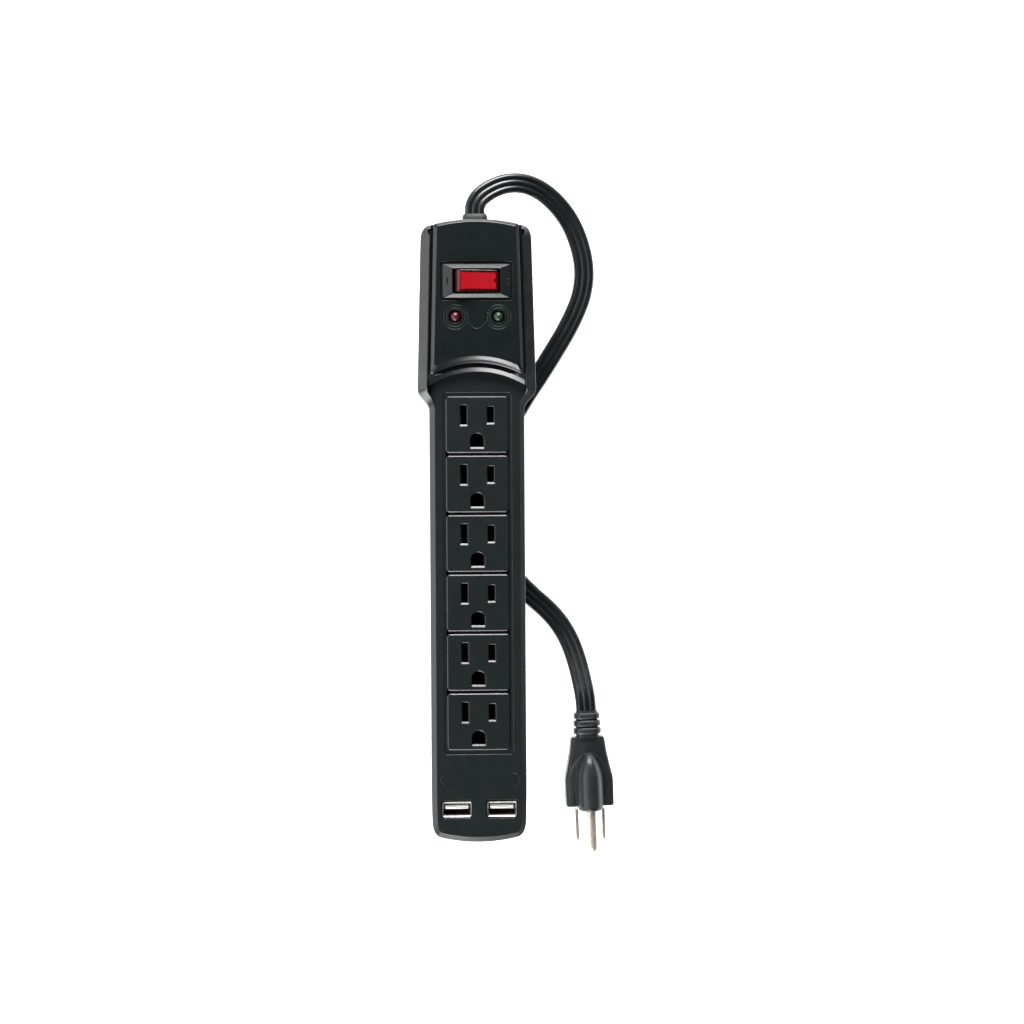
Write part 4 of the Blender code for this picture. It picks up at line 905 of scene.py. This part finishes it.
def make_lamps():
    """Each lamp: a clear dome over a short body with a flange. The dome's profile is a quarter ellipse."""
    quarter = np.linspace(0, math.pi / 2, 10)[:-1]
    radius, rise, base = 2.25, 2.1 * mm, PANEL_Z - 0.9 * mm
    rows = [(2.9, 29.6 * mm), (2.9, 30.6 * mm), (radius, 30.65 * mm)]
    rows += [(radius * math.cos(a), base + rise * math.sin(a)) for a in quarter]
    rows.append((0.15, base + rise))
    for name, x in (("red", -LAMP_X), ("green", LAMP_X)):
        rings = stack_outlines([(circle(r * mm, 40, (x, LAMP_Y)), z) for r, z in rows])
        lamp = ring_solid(f"{name}_lens", rings, finishes[f"{name}_lamp"], 40)
        place(lamp, f"{name}_lamp", slot=f"{name}_lens")


# ==== charging ports

def make_ports():
    """Two ports: a steel shell with a flared lip, and a tongue with four contacts."""
    for number, x in enumerate((-PORT_X, PORT_X), 1):
        lip = DECK_Z + 0.15 * mm
        rings = rim_rings((x, PORT_Y), (
            (13.0, 5.8, 0.7, 21.6 * mm), (13.0, 5.8, 0.7, lip - 1.3 * mm), (13.4, 6.3, 0.8, lip - 0.7 * mm),
            (14.0, 7.3, 1.0, lip - 0.3 * mm), (14.2, 7.5, 1.0, lip - 0.12 * mm), (14.1, 7.4, 1.0, lip),
            (13.7, 7.0, 0.9, lip), (12.9, 5.9, 0.7, lip - 0.45 * mm), (12.2, 5.1, 0.5, lip - 1.2 * mm),
            (12.2, 5.1, 0.5, 21.7 * mm)))
        shell = ring_loop(f"port_shell_{number}", rings, finishes["shell_steel"])
        place(shell, f"usb_shell_{number}", slot="plated_steel")
        tongue = rounded(11.0 * mm, 1.9 * mm, 0.25 * mm, 4, (x, -129.7 * mm))
        profile = eased([(0, 22.5 * mm), (0, 29.7 * mm), (0.3 * mm, 30.1 * mm), (0.5 * mm, 30.1 * mm)],
                        0.15 * mm, 3)
        strip = ring_solid(f"port_tongue_{number}", carried(tongue, profile), finishes["white"])
        place(strip, f"usb_tongue_{number}", slot="white_plastic")
        strips = [rounded(1.1 * mm, 0.16 * mm, 0.05 * mm, 2, (x + dx * mm, -130.68 * mm))
                  for dx in (-3.5, -1.0, 1.0, 3.5)]
        contacts = [prism(outline, 23 * mm, 29.6 * mm) for outline in strips]
        pads = joined_solids(f"port_contacts_{number}", contacts, finishes["brass"])
        place(pads, slot="brass")


# ==== gland and plug

PLUG_FACE = np.array((52.0, -87.2, 13.5)) * mm
PLUG_YAW = math.radians(1.9)
PLUG_START = -11.6 * mm       # where the ribs end and the plug's body begins
CROWN = 3.4 * mm              # from the plug's axis up to its wings' top
BLADE_Z = -4 * mm


def on_plug(points):
    """Local points to the plug's place: local +Y runs back to the cord."""
    x, y = points[..., 0], points[..., 1]
    return np.stack([x * math.cos(PLUG_YAW) - y * math.sin(PLUG_YAW),
                     x * math.sin(PLUG_YAW) + y * math.cos(PLUG_YAW), points[..., 2]], -1) + PLUG_FACE


def make_gland():
    """Collar with a flange on each side of the wall, and a nose that narrows outwards."""
    rows = [(12.6, 8.4, -11.9), (13.4, 8.8, -3.4), (10.8, 6.6, -3.35), (10.8, 6.6, 0.35), (13.6, 9.0, 0.36),
            (14.0, 9.4, 0.7), (13.9, 9.3, 1.2), (12.6, 8.2, 1.8), (12.0, 7.4, 2.1), (12.2, 7.4, 2.6),
            (11.9, 7.0, 3.6), (10.9, 6.2, 4.7)]
    rows = [(rounded(w * mm, h * mm, 0.38 * h * mm), END_Y + y * mm) for w, h, y in rows[::-1]]
    rings = upright_rings(rows, GLAND_Z)
    gland = ring_solid("gland_collar", rings, finishes["rubber"], 50)
    place(gland, "cord_gland", slot="black_rubber")


def make_relief():
    """Three ribs that widen away from the cord's end, on a core that shows in the gaps between them."""
    rows = []
    for k in range(3):
        start = -3.55 * mm * k
        wide, high = (12.4 + 0.4 * k) * mm, (8.8 + 0.5 * k) * mm
        first = -0.8 if k == 0 else 0.0
        for back, share in ((first, 0.82), (0.15, 0.86), (0.25, 0.95), (0.55, 1.0), (2.55, 1.0), (2.9, 0.95),
                            (3.0, 0.84), (3.2, 0.82)):
            rows.append((wide * share, high * share, start - back * mm))
    rows.append((11.8 * mm, 8.6 * mm, -11.9 * mm))
    rings = upright_rings([(rounded(w, h, 0.42 * h), y) for w, h, y in rows])
    ribs = ring_solid("relief_ribs", on_plug(rings), finishes["plug"], 50)
    place(ribs, "plug_strain_relief", slot="black_rubber")


def make_plug():
    """Wings that widen towards the pins, a round barrel over them for the ground pin, and a flute between.
    A station is (distance, width, depth) for the wings and (distance, half width, height) for the rest.
    Across the barrel's skirt the height follows a superellipse: the square root of 1 less the share of the
    width to the power 2.4. Its rim falls off as 1 less that share to the power 10. The nose is an ellipse."""
    stations = np.array((
        (0.0, 14.6, 5.0), (0.5, 15.8, 5.8), (1.2, 16.2, 6.2), (7.0, 17.6, 7.4), (13.8, 20.3, 8.6),
        (18.5, 22.4, 9.2), (20.5, 22.9, 9.4), (26.0, 22.9, 9.6), (32.4, 22.7, 9.6), (32.8, 22.5, 9.4),
        (33.0, 21.9, 9.0))) * mm
    rows = [(rounded(w, low + CROWN, 1.6 * mm, 8, (0, (CROWN - low) / 2)), PLUG_START - y)
            for y, w, low in stations]
    body = ring_solid("plug_wings", on_plug(upright_rings(rows)), finishes["plug"], 40)
    skirt_stations = np.array((
        (7.2, 0.8, 0.4), (7.7, 2.9, 1.6), (8.6, 4.4, 3.0), (10.4, 6.3, 4.9), (13.0, 8.2, 6.6),
        (16.0, 9.9, 7.7), (18.8, 11.0, 8.3), (22.0, 11.25, 8.6), (28.0, 11.2, 8.8), (32.7, 11.1, 8.9))) * mm
    across = np.linspace(1, -1, 49)
    wall = np.sqrt(np.maximum(1 - (np.abs(across) / 0.56) ** 2.4, 0))
    rim = 1 - np.abs(across) ** 10
    rows = []
    for y, half, high in skirt_stations:
        top = np.stack([half * across, CROWN - 0.4 * mm + 1.0 * mm * rim + high * wall], 1)
        under = np.stack([half * np.linspace(-0.98, 0.98, 12), np.full(12, -2 * mm)], 1)
        rows.append((np.vstack([top, under]), PLUG_START - y))
    skirt = helper("skirt", on_plug(upright_rings(rows)))
    angle = full_turn(48)
    rows = []
    nose_stations = np.array(((30.0, 6.0, 8.7), (33.6, 6.0, 8.7), (34.3, 5.7, 8.4), (34.7, 5.0, 7.8))) * mm
    for y, half, high in nose_stations:
        section = np.stack([half * np.cos(angle),
                            (high + 8 * mm) / 2 * np.sin(angle) + CROWN + (high - 8 * mm) / 2], 1)
        rows.append((section, PLUG_START - y))
    nose = helper("nose", on_plug(upright_rings(rows)))
    flute_line = np.array(((5.4, -25.0, 5.2), (6.6, -29.0, 4.6), (7.1, -34.0, 4.5), (7.2, -39.0, 4.5),
                           (7.2, -49.0, 4.5))) * mm
    flutes = [on_plug(swept(flute_line * (side, 1, 1), circle(0.8 * mm, 16)))[:, ::-1] for side in (-1, 1)]
    carve(body, joins=[skirt, nose], cuts=[helper("flutes", *flutes)])
    place(body, "plug_body", slot="black_rubber")


def make_pins():
    """Two flat blades with an eye near the tip, and a round ground pin above them."""
    front = -11.8 * mm - 34.7 * mm
    rows = [(0.0, 1.5, 6.4), (0.2, 1.5, 6.4), (12.8, 1.5, 6.4), (14.2, 1.3, 5.9), (15.0, 0.9, 4.9),
            (15.2, 0.6, 4.4)]
    eye = circle(1.5 * mm, 24, (front - 11.2 * mm, BLADE_Z))
    for name, x in (("live_blade", -BLADE_HALF_GAP), ("neutral_blade", BLADE_HALF_GAP)):
        rings = upright_rings([(rounded(w * mm, h * mm, 0.18 * w * mm, 3, (x, 0)), front - y * mm)
                               for y, w, h in rows], BLADE_Z)
        blade = ring_solid(f"{name}_nickel", on_plug(rings), finishes["nickel"])
        eye_rings = np.stack([np.column_stack([np.full(24, x + dx), eye]) for dx in (-2 * mm, 2 * mm)])
        carve(blade, cuts=[helper("eye", on_plug(eye_rings))])
        place(blade, f"plug_{name}", slot="plated_steel")
    rows = [(0.0, 2.4), (16.0, 2.4), (17.4, 2.25), (18.6, 1.85), (19.4, 1.25), (19.8, 0.5)]
    rings = upright_rings([(circle(r * mm, 32), front - y * mm) for y, r in rows], 7.9 * mm)
    pin = ring_solid("ground_pin_nickel", on_plug(rings), finishes["nickel"], 50)
    place(pin, "plug_ground_pin", slot="plated_steel")


# ==== carried-over nodes

def paint_cad_nodes():
    """Every CAD node that stays gets its finish."""
    wanted = {
        "housing": ("upper_housing", "switch_bezel"),
        "outlet": ("outlet_face",),
        "cover": ("rear_cover",),
        "inner": ("contact_tray", "switch_body", "usb_transformer", "cord_clamp", "live_wire"),
        "rubber": ("foot", "cord_gland"),
        "plug": ("plug_body", "plug_strain_relief"),
        "nickel": ("plug_live_blade", "plug_neutral_blade", "plug_ground_pin"),
        "steel": ("cover_screw", "clamp_screw", "plunger_spring"),
        "shell_steel": ("usb_shell",),
        "bar": ("live_bar", "neutral_bar", "ground_bar"),
        "brass": ("switch_terminal", "plunger", "contact_lever"),
        "board": ("indicator_board", "surge_board"),
        "dark_board": ("usb_board",),
        "blue": ("varistor",),
        "white": ("usb_tongue", "neutral_wire", "thermal_fuse", "usb_capacitor", "neon_lamp"),
        "green_wire": ("ground_wire",),
    }
    for finish, names in wanted.items():
        for name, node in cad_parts.items():
            if name.startswith(names):
                node.data.materials.clear()
                node.data.materials.append(finishes[finish])


make_camera()
make_stage()
paint_cad_nodes()
make_housing()
make_outlets()
make_tray_sheet()
make_bezel()
make_rocker()
make_lamps()
make_ports()
make_gland()
make_relief()
make_plug()
make_pins()
make_cord()
